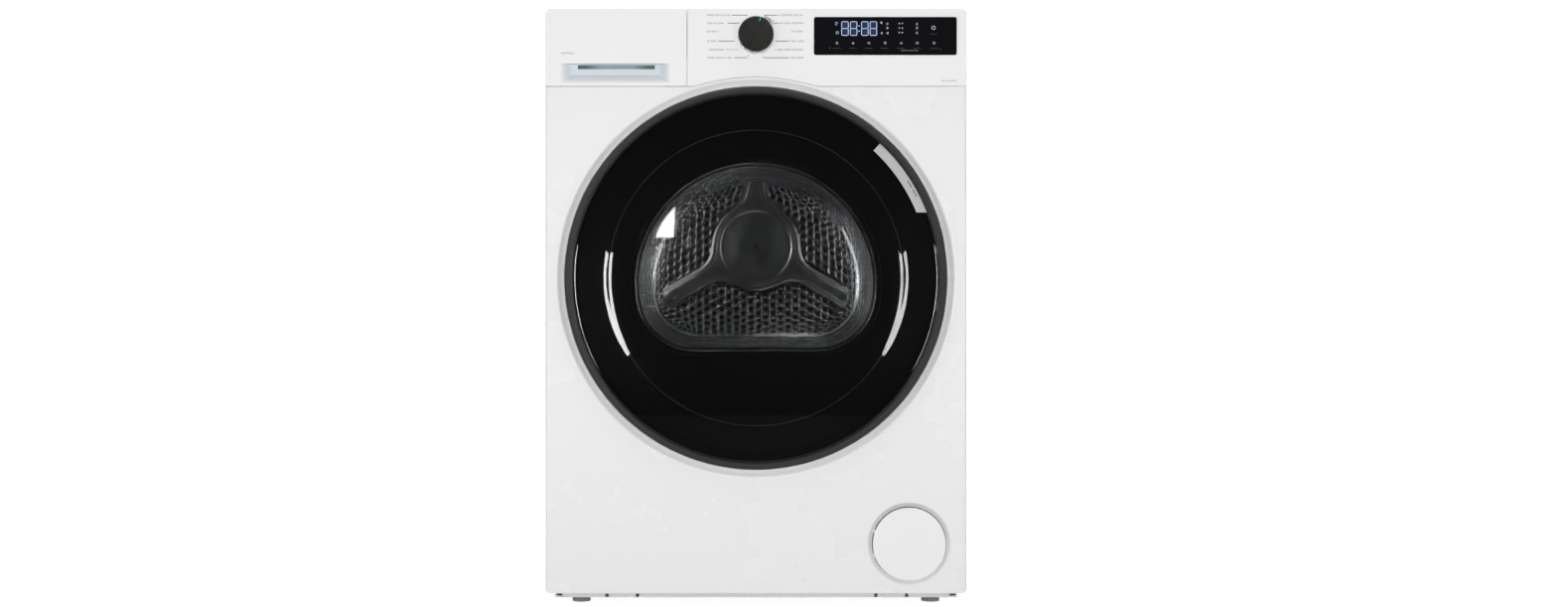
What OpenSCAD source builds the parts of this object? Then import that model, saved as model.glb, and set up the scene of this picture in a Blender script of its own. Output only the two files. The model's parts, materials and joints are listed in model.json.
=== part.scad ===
// Front-loading heat pump clothes dryer, free-standing, 60 cm class.
// Millimetres. X to the right, Y to the rear, Z up. Origin at the centre of the footprint, on the floor.
// The modules draw with Y = 0 at the front panel's face; place() moves them into the part's frame.

/* [Cabinet] */
// Overall width of the cabinet
cab_w = 600; // [596:1:604]
// Height from the floor to the worktop
cab_h = 850; // [848:1:852]
// Depth of the side panels behind the front face
cab_d = 540; // [536:1:544]
// Sheet metal thickness
sheet = 0.9; // [0.8:0.1:1.2]
// Height of the fascia's lower edge above the floor
fascia_z = 740; // [739:1:742]
// X of the seam between the water tank's front and the fascia
seam_x = -98; // [-100:1:-96]

/* [Door] */
// Outer radius of the door ring
door_r = 272; // [268:1:273]
// Height of the door's centre
door_z = 466.7; // [464:0.1:468]
// Radius of the door's outer glass
glass_r = 259; // [256:1:260]
// X of the door's hinge axis
hinge_x = 258; // [256:1:260]
// Distance of the hinge axis in front of the front panel
hinge_y = 9; // [8.8:0.1:9.2]

/* [Drum] */
// Outer radius of the drum
drum_r = 285; // [282:1:286]
// Height of the drum's axis
drum_z = 527; // [526:1:528]
// Front end of the drum's cylinder, behind the front face
drum_y0 = 92; // [90:1:94]
// Rear end of the drum's cylinder
drum_y1 = 490; // [480:1:491]

/* [Controls] */
// Height of the programme knob's axis
knob_z = 811.5; // [810:0.5:812]
// Radius of the knob's chrome skirt
knob_r = 26; // [24:0.5:28]
// Number of grip ridges round the knob
knob_ridges = 36; // [24:1:48]

/* [Service hatch] */
// X of the hatch's centre
hatch_x = 218.5; // [216:0.5:220]
// Height of the hatch's centre
hatch_z = 88; // [86:0.5:90]
// Radius of the hatch's disc
hatch_r = 52; // [50:0.5:53]

/* [Feet] */
// Distance of each foot from the centre line
foot_x = 253; // [250:1:255]
// Radius of a foot's pad
foot_r = 13; // [12:0.5:16]

/* [Hidden] */
e = 0.01;
front_out = 26;                 // the door glass stands this far in front of the front face
rear_out = 19;                  // the rear cover stands this far behind the side panels
yc = (cab_d + rear_out - front_out) / 2;
hw = cab_w / 2;
top_z = cab_h - 28;             // top of the side panels
d_z = door_z - 7.7;             // centre of the D shaped loading opening
steel_white = [0.92, 0.92, 0.91];
plastic_white = [0.93, 0.93, 0.92];
dark = [0.03, 0.03, 0.035];
grey = [0.35, 0.36, 0.37];
light = [0.78, 0.79, 0.79];
inox = [0.66, 0.67, 0.68];
zinc = [0.70, 0.72, 0.74];

module place() translate([0, -yc, 0]) children();
// extrude a drawing in the X-Z plane from y0 to y1
module ext_y(y0, y1) translate([0, y1, 0]) rotate([90, 0, 0]) linear_extrude(y1 - y0) children();
// revolve points [radius, y] about an axis along Y through (cx, cz)
module rev_y(cx, cz, p) translate([cx, 0, cz]) rotate([-90, 0, 0]) rotate_extrude($fn = 128) polygon(p);
module cyl_y(cx, cz, y0, y1, r) translate([cx, y0, cz]) rotate([-90, 0, 0]) cylinder(h = y1 - y0, r = r, $fn = 64);
module box(x0, x1, y0, y1, z0, z1) translate([x0, y0, z0]) cube([x1 - x0, y1 - y0, z1 - z0]);
// rectangle with rounded corners in the drawing plane
module rr(x0, x1, y0, y1, r) {
  translate([x0 + r, y0]) square([x1 - x0 - 2 * r, y1 - y0]);
  translate([x0, y0 + r]) square([x1 - x0, y1 - y0 - 2 * r]);
  for (x = [x0 + r, x1 - r], y = [y0 + r, y1 - r]) translate([x, y]) circle(r = r, $fn = 32);
}
// D shaped outline: a circle of radius r cut flat at b below its centre, with corner radius f
function d_cx(r, b, f) = sqrt((r - f) * (r - f) - (b - f) * (b - f));
function d_pts(r, b, f, n = 48, m = 10) =
  let (cx = d_cx(r, b, f), a = atan2(f - b, cx))
  concat([for (i = [0:n]) let (t = a + (180 - 2 * a) * i / n) [r * cos(t), r * sin(t)]],
         [for (i = [1:m]) let (t = 180 - a + (90 + a) * i / m) [-cx + f * cos(t), f - b + f * sin(t)]],
         [for (i = [0:m - 1]) let (t = 270 + (90 + a) * i / m) [cx + f * cos(t), f - b + f * sin(t)]]);
module d2(r, b, f) translate([0, d_z]) polygon(d_pts(r, b, f));
module tube(a, b, r) {          // a straight round rod from a to b
  v = b - a; l = norm(v);
  translate(a) rotate([0, acos(v[2] / l), atan2(v[1], v[0])]) cylinder(h = l, r = r, $fn = 24);
}
module run(pts, r) {
  for (i = [0:len(pts) - 2]) tube(pts[i], pts[i + 1], r);
  for (i = [1:len(pts) - 2]) translate(pts[i]) sphere(r = r + 0.5, $fn = 24);
}
// rear screw positions [x, z]
rear_screws = [[-290, 60], [290, 60], [-290, 400], [290, 400], [-290, 790], [290, 790], [0, 812], [-150, 60]];
cover_screws = [for (a = [30, 75, 105, 150, 200, 340]) [254 * cos(a), drum_z + 254 * sin(a)]];
plinth_screws = [-212.5, -169, 171, 215];
compressor_feet = [[-190, 402], [-253, 296], [-127, 296]];

// ---------- cabinet ----------
module front_panel() place() color(steel_white) {
  difference() {
    translate([0, 0, 18]) linear_extrude(fascia_z - 0.5 - 18) difference() {
      rr(-hw, hw, 0, 40, 4);
      rr(-hw + sheet, hw - sheet, sheet, 41, 2.8);
      translate([-hw - 1, 14]) square([cab_w + 2, 40]);
    }
    cyl_y(0, door_z, -1, 20, door_r + 14.6);
    cyl_y(hatch_x, hatch_z, -1, 20, hatch_r + 8);
    bottom_corners();
  }
  difference() {                // folded lips along the top and bottom edges
    union() {
      box(-hw + sheet, hw - sheet, sheet, 14, 18, 18 + sheet);
      box(-hw + sheet, hw - sheet, sheet, 14, fascia_z - 0.5 - sheet, fascia_z - 0.5);
    }
    cyl_y(0, door_z, -1, 20, door_r + 14.6);
    bottom_corners();
  }
  difference() {                // dished seat of the door, with the loading opening and the lock's slot
    rev_y(0, door_z, [[door_r + 16, 0], [door_r + 14, 0], [door_r + 12.6, 0.4], [door_r + 10.6, 2], [door_r + 8.6, 4.6], [door_r + 5.6, 8],
                      [door_r + 3, 9.6], [door_r + 1, 10], [0, 10], [0, 10 + sheet], [door_r + 1.1, 10 + sheet], [door_r + 3.3, 9.55 + sheet],
                      [door_r + 6.2, 7.75 + sheet], [door_r + 9.3, 4.25 + sheet], [door_r + 11.2, 1.7 + sheet], [door_r + 12.9, 0.25 + sheet],
                      [door_r + 13.8, sheet], [door_r + 16, sheet]]);
    ext_y(-1, 3) difference() {
      translate([-200, fascia_z - 0.5]) square([400, 40]);
      translate([0, door_z]) circle(r = door_r + 14.3, $fn = 128);
    }
    ext_y(5, 20) d2(186, 110, 94);
    box(-234, -216, 5, 20, 451, 483);
    for (z = [-26, 26]) cyl_y(212, door_z + z, 5, 20, 2.1);
  }
  ext_y(10 + e, 16) difference() { d2(187.2, 111.2, 95); d2(186, 110, 94); }
}
module bottom_corners() for (s = [-1, 1]) ext_y(-1, 15) difference() {
  translate([s > 0 ? hw - 6 : -hw - 1, 17]) square([7, 7]);
  translate([s * (hw - 6), 24]) circle(r = 6, $fn = 48);
}
module side_panel(s) {
  box(s > 0 ? hw - sheet : -hw, s > 0 ? hw : -hw + sheet, 14.4, cab_d, 18, top_z);
  x0 = s > 0 ? hw - 24 : -hw + sheet;
  x1 = s > 0 ? hw - sheet : -hw + 24;
  box(x0, x1, 14.4, 14.4 + sheet, 19.4, fascia_z - 4);
  box(x0, x1, 14.4, cab_d - 3, 18, 18 + sheet);
  box(s > 0 ? hw - 9 : -hw + sheet, s > 0 ? hw - sheet : -hw + 9, 14.4, cab_d - 3, top_z - sheet, top_z);
  difference() {
    box(x0, x1, cab_d - 2.6, cab_d - 1.4, 19.4, top_z - 1.3);
    for (p = rear_screws) cyl_y(p[0], p[1], 500, 545, 2.1);
  }
}
module left_side_panel() place() color(steel_white) side_panel(-1);
module right_side_panel() place() color(steel_white) side_panel(1);

module duct_outline(k) {
  translate([0, drum_z]) circle(r = 236 + k, $fn = 128);
  translate([-50 - k, 100 - k]) square([180 + 2 * k, 300]);
}
module rear_panel() place() color(zinc) difference() {
  box(-hw + sheet + 0.2, hw - sheet - 0.2, cab_d - 1.2, cab_d, 20, top_z - 1.6);
  ext_y(500, 560) {
    translate([-176, drum_z - 176]) square([352, 352]);
    translate([-50, 100]) square([180, 300]);
    translate([-176.6, 10]) square([0.6, cab_h]);  // the joint between the service strip and the main sheet
  }
  for (p = rear_screws) cyl_y(p[0], p[1], 500, 560, 2.1);
  for (p = cover_screws) cyl_y(p[0], p[1], 500, 560, 2.1);
  cyl_y(-250, 780, 500, 560, 8);
  cyl_y(-268, 735, 500, 560, 7);
  // cooling louvres for the compressor, low on the left
  for (i = [0:6]) box(-270, -190, 500, 560, 130 + i * 14, 135 + i * 14);
}
module rear_duct_cover() place() color(zinc) {
  difference() {
    ext_y(cab_d + e, cab_d + rear_out) duct_outline(12);
    ext_y(cab_d - 1, cab_d + rear_out - sheet) duct_outline(12 - sheet);
  }
  difference() {
    ext_y(cab_d + e, cab_d + sheet) duct_outline(26);
    ext_y(cab_d - 1, cab_d + 3) duct_outline(12 - e);
    for (p = cover_screws) cyl_y(p[0], p[1], 530, 560, 2.1);
  }
}
module bearing_bracket() place() color(zinc) {
  difference() {
    union() {
      box(-244, 244, cab_d + e, cab_d + 3, drum_z - 22, drum_z + 22);
      box(-22, 22, cab_d + e, cab_d + 3, drum_z, drum_z + 244);
      cyl_y(0, drum_z, 522, 552, 26);
    }
    cyl_y(0, drum_z, 500, 560, 20.02);
  }
}
module drum_bearing() place() color(inox) {
  rev_y(0, drum_z, [[10.04, 524], [13, 524], [13, 525], [17, 525], [17, 524], [20, 524], [20, 540], [17, 540], [17, 539], [13, 539], [13, 540], [10.04, 540]]);
}
module rear_air_seal() place() color([0.55, 0.55, 0.53])
  rev_y(0, drum_z, [[268, drum_y1 - 9.5], [274, drum_y1 - 9.5], [274, cab_d - 1.3], [268, cab_d - 1.3]]);
module worktop() place() color(plastic_white) {
  difference() {
    translate([0, 0, cab_h - 16]) linear_extrude(13) rr(-hw, hw, 20.5, cab_d + 16, 5);
    for (x = [-262, -86, 90], y = [44, 214, 384]) box(x, x + 172, y, y + 145, cab_h - 20, cab_h - 6);
  }
  translate([0, 0, cab_h - 3 - e]) linear_extrude(3 + e) rr(-hw + 1.2, hw - 1.2, 21.7, cab_d + 14.8, 4);
  translate([0, 0, top_z + 0.1]) linear_extrude(12) difference() {
    rr(-hw + 1, hw - 1, 22, cab_d + 14, 4);
    rr(-hw + 22, hw - 22, 40, cab_d - 8, 4);
    translate([-hw + 20, 10]) square([190, 60]);
  }
}

// ---------- fascia ----------
module fascia_edge(x0, x1, right) {  // outline with the outer top corner rounded
  translate([x0, fascia_z]) square([x1 - x0, cab_h - fascia_z - 8]);
  translate([right ? x0 : x0 + 8, fascia_z]) square([x1 - x0 - 8, cab_h - fascia_z]);
  translate([right ? x1 - 8 : x0 + 8, cab_h - 8]) circle(r = 8, $fn = 48);
}
module control_panel() place() color(plastic_white) difference() {
  union() {
    difference() {
      ext_y(-2, 20) fascia_edge(seam_x + 0.4, hw, true);
      ext_y(0.5, 21) difference() {
        translate([seam_x + 2.9, fascia_z + 2.5]) square([hw - 2.5 - seam_x - 2.9, cab_h - fascia_z - 5]);
        translate([0, door_z]) circle(r = door_r + 17, $fn = 128);
      }
      box(seam_x - 5, hw + 5, 14.2, 21, fascia_z - 5, top_z + 0.5);
    }
  }
  cyl_y(0, door_z, -5, 30, door_r + 14.6);
  ext_y(-5, 3) rr(82.4, 286, 784, 838.5, 3);
  cyl_y(0, knob_z, -5, 3, 6.5);
  rev_y(0, knob_z, [[0, -3], [31.5, -3], [31.5, -2], [28, -1.2], [0, -1.2]]);
}
module display_window() place() color(dark) ext_y(-2.4, 0.2) rr(82.7, 285.7, 784.3, 838.2, 2.8);

module control_board() place() color([0.05, 0.35, 0.18]) difference() {
  union() {
    box(-36, 286, 12, 13.6, 785, 838);
    for (x = [34, 52, 70]) box(x, x + 12, 13.5, 18, 796, 808);
    box(220, 262, 13.5, 17, 806, 822);
    for (x = [110, 124, 138]) cyl_y(x, 822, 13.5, 21, 4);
    box(112, 200, 0.4, 12.1, 806, 835);
    box(90, 278, 2, 6, 788, 800);
    for (x = [95, 273]) box(x - 3, x + 3, 5.9, 12.1, 790, 797);
    cyl_y(0, knob_z, 1, 3.1, 11);
    box(-13, 13, 3, 12.1, knob_z - 13, knob_z + 13);
  }
  cyl_y(0, knob_z, -1, 10, 3.05);
}

module programme_knob() place() color(dark) {
  difference() {
    rev_y(0, knob_z, [[0, -24], [knob_r - 2.4, -24], [knob_r - 0.9, -22.6], [knob_r - 0.6, -8], [knob_r, -6.5], [knob_r, -2.8], [knob_r - 1, -2], [0, -2]]);
    for (i = [0:knob_ridges - 1]) let (a = 360 * i / knob_ridges)
      cyl_y(knob_r * cos(a), knob_z + knob_r * sin(a), -25, -9.5, 1.1);
  }
  cyl_y(0, knob_z, -2.05, 9.6, 3);
}

// ---------- water tank ----------
tank_pts = [[-288, 752], [-216, 752], [-110, 804.5], [-110, 818], [-288, 818]];
module tank_front() place() color(plastic_white) {
  difference() {
    ext_y(-2, 20) fascia_edge(-hw, seam_x - 0.4, false);
    ext_y(0.6, 21) rr(-hw + 2.5, seam_x - 2.9, fascia_z + 2.5, cab_h - 2.5, 5);
    box(-hw - 5, seam_x + 5, 14, 21, fascia_z - 5, top_z + 0.5);
    handle_cut();
  }
  difference() {                // the moulded cup behind the grip
    union() {
      ext_y(0.55, 13.5) rr(-280, -121, 741, 775, 2);
    }
    handle_cut();
  }
}
module handle_cut() {           // scooped grip with a finger slot along its top
  hull() {
    box(-277.6, -123.5, -3, -2, 744.5, 772);
    box(-264, -137, -2, 7.5, 757, 772);
  }
  box(-254.5, -144.5, -3, 11.5, 765.2, 771);
}
module water_tank() place() color([0.80, 0.82, 0.84]) {
  difference() {
    ext_y(15, 440) polygon(tank_pts);
    ext_y(17.5, 437.5) polygon([[-285.5, 754.5], [-216.6, 754.5], [-112.5, 806], [-112.5, 830], [-285.5, 830]]);
  }
  for (x = [-270, -150]) box(x, x + 14, 0.6 + e, 15.1, 781, 812);
}
module tank_lid() place() color([0.88, 0.88, 0.87]) difference() {
  union() {
    box(-288, -110, 15.2, 440, 818 + e, 820);
    box(-285.2, -282.8, 18, 437, 812, 818.2);
    box(-240, -160, 330, 430, 813, 818.2);
  }
  box(-232, -168, 340, 420, 810, 825);
}
module tank_guide() place() color(light) difference() {
  ext_y(16, 446) polygon([[-293, 747], [-216, 747], [-104.5, 801.5], [-104.5, 818], [-293, 818]]);
  ext_y(15, 443) polygon([[-290.5, 749.6], [-215.8, 749.6], [-107, 803.4], [-107, 830], [-290.5, 830]]);
}

// ---------- drum front support ----------
module front_bulkhead() place() color(light) difference() {
  union() {
    ext_y(17, 20) {             // plate, standing on the base
      translate([0, drum_z]) circle(r = 242, $fn = 128);
      translate([-204, 232]) square([408, 170]);
      translate([-204, 56.2]) square([344, 180]);
    }
    ext_y(8, 76) d2(185, 109, 93);
    rev_y(0, drum_z, [[226, 19.9], [229, 19.9], [229, 76], [0, 76], [0, 73.5], [226, 73.5]]);
    for (s = [-1, 1]) cyl_y(s * 161.8, 268.1, 19.9, 32, 10);
  }
  ext_y(5, 80) d2(182, 106, 90);
  box(-104.2, 104.2, 20, 56.2, 130, 346);
  box(-101.5, 101.5, 22.5, 53.5, 340, 360);
  box(-243, -202, 10, 46, 434, 500);
  for (s = [-1, 1]) cyl_y(s * 161.8, 268.1, 10, 40, 5);
  cyl_y(0, 700, 60, 80, 12.1);
  // air slots from the drum into the filter shaft
  for (i = [0:8]) box(-88 + 20 * i, -76 + 20 * i, 60, 80, 322, 344);
}
module filter_shaft() place() color(light) difference() {
  box(-104, 104, 20.02, 56, 150, 345);
  box(-101.5, 101.5, 22.5, 53.5, 130, 360);
}
module front_drum_felt() place() color([0.5, 0.5, 0.48]) rev_y(0, drum_z, [[229.25, 60], [230.4, 60], [230.4, 74], [229.25, 74]]);
module moisture_sensor() place() color(inox) for (z = [304, 311]) box(-45, 45, 76 + e, 77.6, z, z + 4);
module interior_lamp() place() color([0.9, 0.92, 0.95]) {
  cyl_y(0, 700, 62, 76, 12);
  cyl_y(0, 700, 75.9, 78.5, 10);
}
module lint_filter() place() color(plastic_white) difference() {
  union() { box(-99, 99, 26, 50, 168, 332.1); box(-101, 101, 23.5, 52.5, 332, 338); }
  box(-97.5, 97.5, 27.5, 48.5, 169.5, 345);
  // fine mesh in four fields of each face
  for (i = [0:3], y = [[20, 26.75], [49.25, 60]]) box(-92 + 47 * i, -51 + 47 * i, y[0], y[1], 176, 322);
}
// ---------- drum ----------
module drum_shell() place() color(inox) {
  rev_y(0, drum_z, [[230.8, 59], [230.8, 76.2], [drum_r - 0.8, drum_y0 + 0.4], [drum_r - 0.8, drum_y1],
                    [drum_r, drum_y1], [drum_r, drum_y0 - 0.2], [231.6, 75.7], [231.6, 59]]);
}
module drum_back() place() color(inox) difference() {
  union() {
    rev_y(0, drum_z, [[0, 478], [276, 478], [284, 472], [284, 489], [283.1, 489], [283.1, 473.8], [276.4, 478.9], [0, 478.9]]);
    cyl_y(0, drum_z, 470, 478.5, 74);
    // pressed three-arm spider
    for (a = [90, 210, 330]) translate([0, 0, drum_z]) rotate([0, -a, 0]) {
      box(60, 176, 471, 478.5, -19, 19);
      translate([176, 471, 0]) rotate([-90, 0, 0]) cylinder(h = 7.5, r = 19, $fn = 48);
    }
  }
  for (a = [90, 210, 330]) translate([0, 0, drum_z]) rotate([0, -a, 0]) box(78, 176, 472, 490, -17.5, 17.5);
  cyl_y(0, drum_z, 460, 474, 61);
  difference() { cyl_y(0, drum_z, 475.2, 490, 72.5); cyl_y(0, drum_z, 470, 490, 34); }
  cyl_y(0, drum_z, 460, 490, 8.2);
}
module drum_lifters() place() color([0.72, 0.73, 0.74]) for (a = [30, 150, 270]) translate([0, 0, drum_z]) rotate([0, -a, 0])
  difference() {
    translate([0, 110, 0]) rotate([-90, 0, 0]) linear_extrude(340)
      polygon([[281.5, -32], [272, -28], [240, -9], [234, 0], [240, 9], [272, 28], [281.5, 32]]);
    translate([0, 112.5, 0]) rotate([-90, 0, 0]) linear_extrude(335)
      polygon([[279, -27], [271, -24.5], [242, -7], [238, 0], [242, 7], [271, 24.5], [279, 27]]);
  }
module drum_shaft() place() color(inox) {
  cyl_y(0, drum_z, 471.5, 474 - e, 24);
  cyl_y(0, drum_z, 471.5, 480, 8);
  cyl_y(0, drum_z, 478.9 + e, 492, 30);
  cyl_y(0, drum_z, 491.9, 548, 10);
}
module drum_belt() place() color(dark) ext_y(228, 236) difference() {
  hull() { translate([0, drum_z]) circle(r = drum_r + 2.4, $fn = 96); translate([40, 150]) circle(r = 14.2, $fn = 24); }
  hull() { translate([0, drum_z]) circle(r = drum_r + 0.6, $fn = 96); translate([40, 150]) circle(r = 12.4, $fn = 24); }
}
module roller_axles() place() color(inox) for (s = [-1, 1]) {
  cyl_y(s * 161.8, 268.1, 16, 112.5, 4.95);
  cyl_y(s * 161.8, 268.1, 110.6, 112.4, 8);
}
module roller(s) difference() {
  cyl_y(s * 161.8, 268.1, 98, 110, 20);
  cyl_y(s * 161.8, 268.1, 97, 111, 5.0);
}
module left_roller() place() color(grey) roller(-1);
module right_roller() place() color(grey) roller(1);

// ---------- door ----------
module hinge_pocket() box(236, 290, -14.6, 12, door_z - 46, door_z + 46);
module door_ring() place() color(dark) difference() {
  rev_y(0, door_z, [[door_r - 10, 4.2], [door_r - 8, 6], [door_r - 2, 0], [door_r, -6], [door_r, -12], [door_r - 1.5, -17], [door_r - 5, -20],
                    [glass_r + 0.4, -20], [glass_r + 0.4, -17], [door_r - 6, -17], [door_r - 3.5, -14.5], [door_r - 3, -12], [door_r - 3, -6], [door_r - 4.7, -1.2]]);
  hinge_pocket();
}
module door_glass() place() color(dark) rev_y(0, door_z, concat(
    [for (i = [0:12]) let (r = glass_r * i / 12) [r, -front_out + 7 * pow(i / 12, 3)]],
    [[glass_r, -15.6]],
    [for (i = [12:-1:0]) let (r = (glass_r - 3) * i / 12) [r, -front_out + 4 + 6.4 * pow(i / 12, 3)]]));
module door_liner() place() color([0.10, 0.10, 0.105]) difference() {
  union() {
    rev_y(0, door_z, [[0, 1.5], [door_r - 8.2, 1.5], [door_r - 11.2, 4.6], [0, 4.6]]);
    rev_y(0, door_z, [[door_r - 22, -15.4], [door_r - 19, -15.4], [door_r - 19, 1.6], [door_r - 22, 1.6]]);
  }
  ext_y(-5, 10) d2(172, 96, 84);
  hinge_pocket();
}
module door_bowl() place() color([0.55, 0.58, 0.60, 0.4]) translate([0, 0, 0]) difference() {
  union() {
    ext_y(-2.4, 1.4) d2(180, 104, 90);
    hull() { ext_y(-2.4, 1.4) d2(170.5, 94.5, 84); ext_y(99, 100) d2(150, 72, 66); }
  }
  hull() { ext_y(-3, -2) d2(166.5, 90.5, 80); ext_y(95, 96) d2(146, 68, 62); }
}
module door_gasket() place() color([0.2, 0.2, 0.21]) ext_y(4.65, 9.5) difference() { d2(199, 123, 104); d2(188.5, 112.5, 96); }
module door_hinge_block() place() color(zinc) {
  cyl_z(hinge_x, -hinge_y, door_z - 35, door_z + 35, 2.5);
  cyl_z(hinge_x, -hinge_y, door_z - 24, door_z + 24, 5);
  box(232, hinge_x, -hinge_y - 2.5, -hinge_y + 2.5, door_z - 24, door_z + 24);
  box(228, 235.5, -hinge_y - 2.5, 1.4, door_z - 24, door_z + 24);
  box(204, 235.5, -1.6, 1.4, door_z - 24, door_z + 24);
}
module cyl_z(x, y, z0, z1, r) translate([x, y, z0]) cylinder(h = z1 - z0, r = r, $fn = 48);
module hinge_bracket() place() color(zinc) {
  difference() {
    union() {
      box(200.5, 240, 6.2, 9.9, door_z - 36, door_z + 36);
      for (z = [door_z - 34.5, door_z + 26.5]) translate([0, 0, z]) linear_extrude(8) {
        translate([hinge_x, -hinge_y]) circle(r = 5, $fn = 48);
        polygon([[hinge_x + 1.6, -hinge_y + 1.9], [hinge_x - 1.6, -hinge_y - 1.9], [hinge_x - 19.4, 4], [235.5, 6.3], [235.5, 9.9], [243, 9.9]]);
      }
    }
    cyl_z(hinge_x, -hinge_y, door_z - 60, door_z + 60, 2.55);
    for (z = [-26, 26]) cyl_y(212, door_z + z, 5, 20, 2.1);
  }
}
module door_hook() place() color(zinc) {
  box(-233, -213, 4.65, 7, 455, 479);
  box(-228, -222, 4.7, 30, 461, 473);
  box(-231.5, -222, 24, 30, 461, 473);
}
module door_lock() place() color(grey) difference() {
  box(-241, -206, 11.3, 44, 440, 494);
  box(-236, -214, 10, 40, 449, 485);
}

// ---------- service hatch ----------
module hatch_bezel() place() color(light) difference() {
  union() {
    rev_y(hatch_x, hatch_z, [[hatch_r + 7.4, -0.6], [hatch_r + 7.9, -0.6], [hatch_r + 7.9, 14.2], [hatch_r + 1.2, 14.2], [hatch_r + 1.2, 5.2],
                    [hatch_r + 2.2, 5], [hatch_r + 5.8, 0.6]]);
    for (z = [-19, 15]) translate([hatch_x - 48, 2.5, hatch_z + z]) linear_extrude(4) {
      circle(r = 2.1, $fn = 24);
      polygon([[1.9, 0.9], [-1.2, -0.5], [-1.2, 5.4], [-6, 9], [-6, 12], [-1, 12], [1.9, 8]]);
    }
  }
  cyl_z(hatch_x - 48, 2.5, hatch_z - 30, hatch_z + 30, 1.05);
}
module service_hatch() place() color(plastic_white) {
  difference() {
    cyl_y(hatch_x, hatch_z, -0.4, 2.5, hatch_r);
    for (z = [-19.4, 14.6]) box(hatch_x - 60, hatch_x - 44.9, 0.1, 4, hatch_z + z, hatch_z + z + 4.8);
  }
  cyl_z(hatch_x - 48, 2.5, hatch_z - 18.5, hatch_z + 18.5, 1);
  cyl_z(hatch_x - 48, 2.5, hatch_z - 14.5, hatch_z + 14.5, 2.2);
  box(hatch_x + 40, hatch_x + 44, 2.4, 11, hatch_z - 5, hatch_z + 5);
  for (z = [-26, 26]) box(hatch_x - 34, hatch_x + 34, 2.4, 4.5, hatch_z + z - 1, hatch_z + z + 1);
}
// ---------- base and heat pump ----------
module base_tray() place() color([0.25, 0.26, 0.27]) difference() {
  union() {
    difference() { box(-294, 294, 18, 536, 19.4, 56); box(-291, 291, 21, 533, 22.4, 60); }
    for (x = [-foot_x, foot_x], y = [48, 500]) cyl_z(x, y, 12.2, 46, 15);
    box(-110, -107, 20.9, 410, 22.3, 50);
    box(112, 115, 60, 533.1, 22.3, 50);
  }
  for (x = [-foot_x, foot_x], y = [48, 500]) cyl_z(x, y, 5, 60, 5.05);
  cyl_y(hatch_x, hatch_z, 10, 70, hatch_r + 0.5);
}
module plinth_rail() place() color(light) difference() {
  union() {
    box(-287, 287, 5, 6.6, 11.5, 17.8);
    box(-287, 287, 5, 17.8, 16.4, 17.8);
  }
  for (x = plinth_screws) cyl_y(x, 14.6, 0, 16, 1.5);
}
module heat_exchanger_housing() place() color(grey) {
  difference() {
    box(124, 288, 66, 412, 22.5, 222);
    box(126.5, 285.5, 68.5, 409.5, 20, 219.5);
    box(hatch_x - 34.5, hatch_x + 34.5, 60, 70, hatch_z - 34.5, hatch_z + 34.5);
    cyl_y(206, 200, 400, 420, 5);
    cyl_z(160, 160, 210, 230, 5);
  }
  difference() {               // neck behind the service hatch
    box(hatch_x - 37, hatch_x + 37, 14.4, 66.1, hatch_z - 37, hatch_z + 37);
    box(hatch_x - 34.5, hatch_x + 34.5, 14, 67, hatch_z - 34.5, hatch_z + 34.5);
  }
}

module evaporator() place() color(light) difference() {
  box(136, 278, 100, 200, 26, 212);
  for (i = [0:9]) box(140 + i * 13.4, 151 + i * 13.4, 99, 196, 32, 206);
}
module condenser() place() color([0.72, 0.55, 0.42]) difference() {
  box(136, 278, 230, 380, 26, 212);
  for (i = [0:9]) box(140 + i * 13.4, 151 + i * 13.4, 229, 376, 32, 206);
}

module motor() place() color(zinc) difference() {
  union() {
    cyl_y(40, 150, 268, 390, 48);
    cyl_y(40, 150, 258, 400, 24);
    box(0, 80, 280, 290, 22.5, 150);
    box(0, 80, 368, 378, 22.5, 150);
  }
  cyl_y(40, 150, 250, 410, 6.06);
}
module motor_rotor() place() color(inox) {
  cyl_y(40, 150, 216, 520, 6);
  cyl_y(40, 150, 226, 238, 12);
  for (y = [224.5, 238 - e]) cyl_y(40, 150, y, y + 1.5, 14);
  cyl_y(40, 150, 470, 473, 72);
  cyl_y(40, 150, 470, 510, 14);
  for (i = [0:11]) translate([40, 472.9, 150]) rotate([0, 30 * i, 0]) translate([30, 0, -1]) cube([40, 38, 2]);
}
module fan_housing() place() color(grey) {
  difference() {
    union() {
      cyl_y(40, 150, 452, 524, 84);
      box(-44, 124, 452, 524, 150, 236);
      box(-60, 150, 524 - e, cab_d - 1.3, 62.8, 236);
    }
    cyl_y(40, 150, 455, 560, 81);
    box(-41, 121, 455, 560, 150, 233);
    cyl_y(40, 150, 440, 460, 40);
  }
}
module compressor() place() color([0.06, 0.06, 0.065]) {
  difference() {
    union() {
      cyl_z(-190, 330, 52, 215, 66);
      cyl_z(-190, 330, 44, 52.1, 58);
      cyl_z(-190, 330, 214.9, 226, 56);
    }
    cyl_z(-190, 330, 40, 190, 52);
  }
  difference() {
    union() {
      box(-262, -118, 286, 306, 46, 49);
      box(-202, -178, 320, 410, 46, 49);
      for (p = compressor_feet) cyl_z(p[0], p[1], 22.5, 46.1, 9);
    }
    cyl_z(-190, 330, 40, 50, 53);
  }
}
module refrigerant_pipes() place() color([0.72, 0.42, 0.25]) {
  run([[-190, 330, 226.05], [-190, 330, 232], [-190, 446, 232], [206, 446, 232], [206, 446, 200], [206, 380.1, 200]], 4);
  run([[-150, 300, 226.05], [-150, 300, 232], [-150, 434, 232], [160, 434, 232], [160, 160, 232], [160, 160, 212.1]], 4);
}
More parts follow.
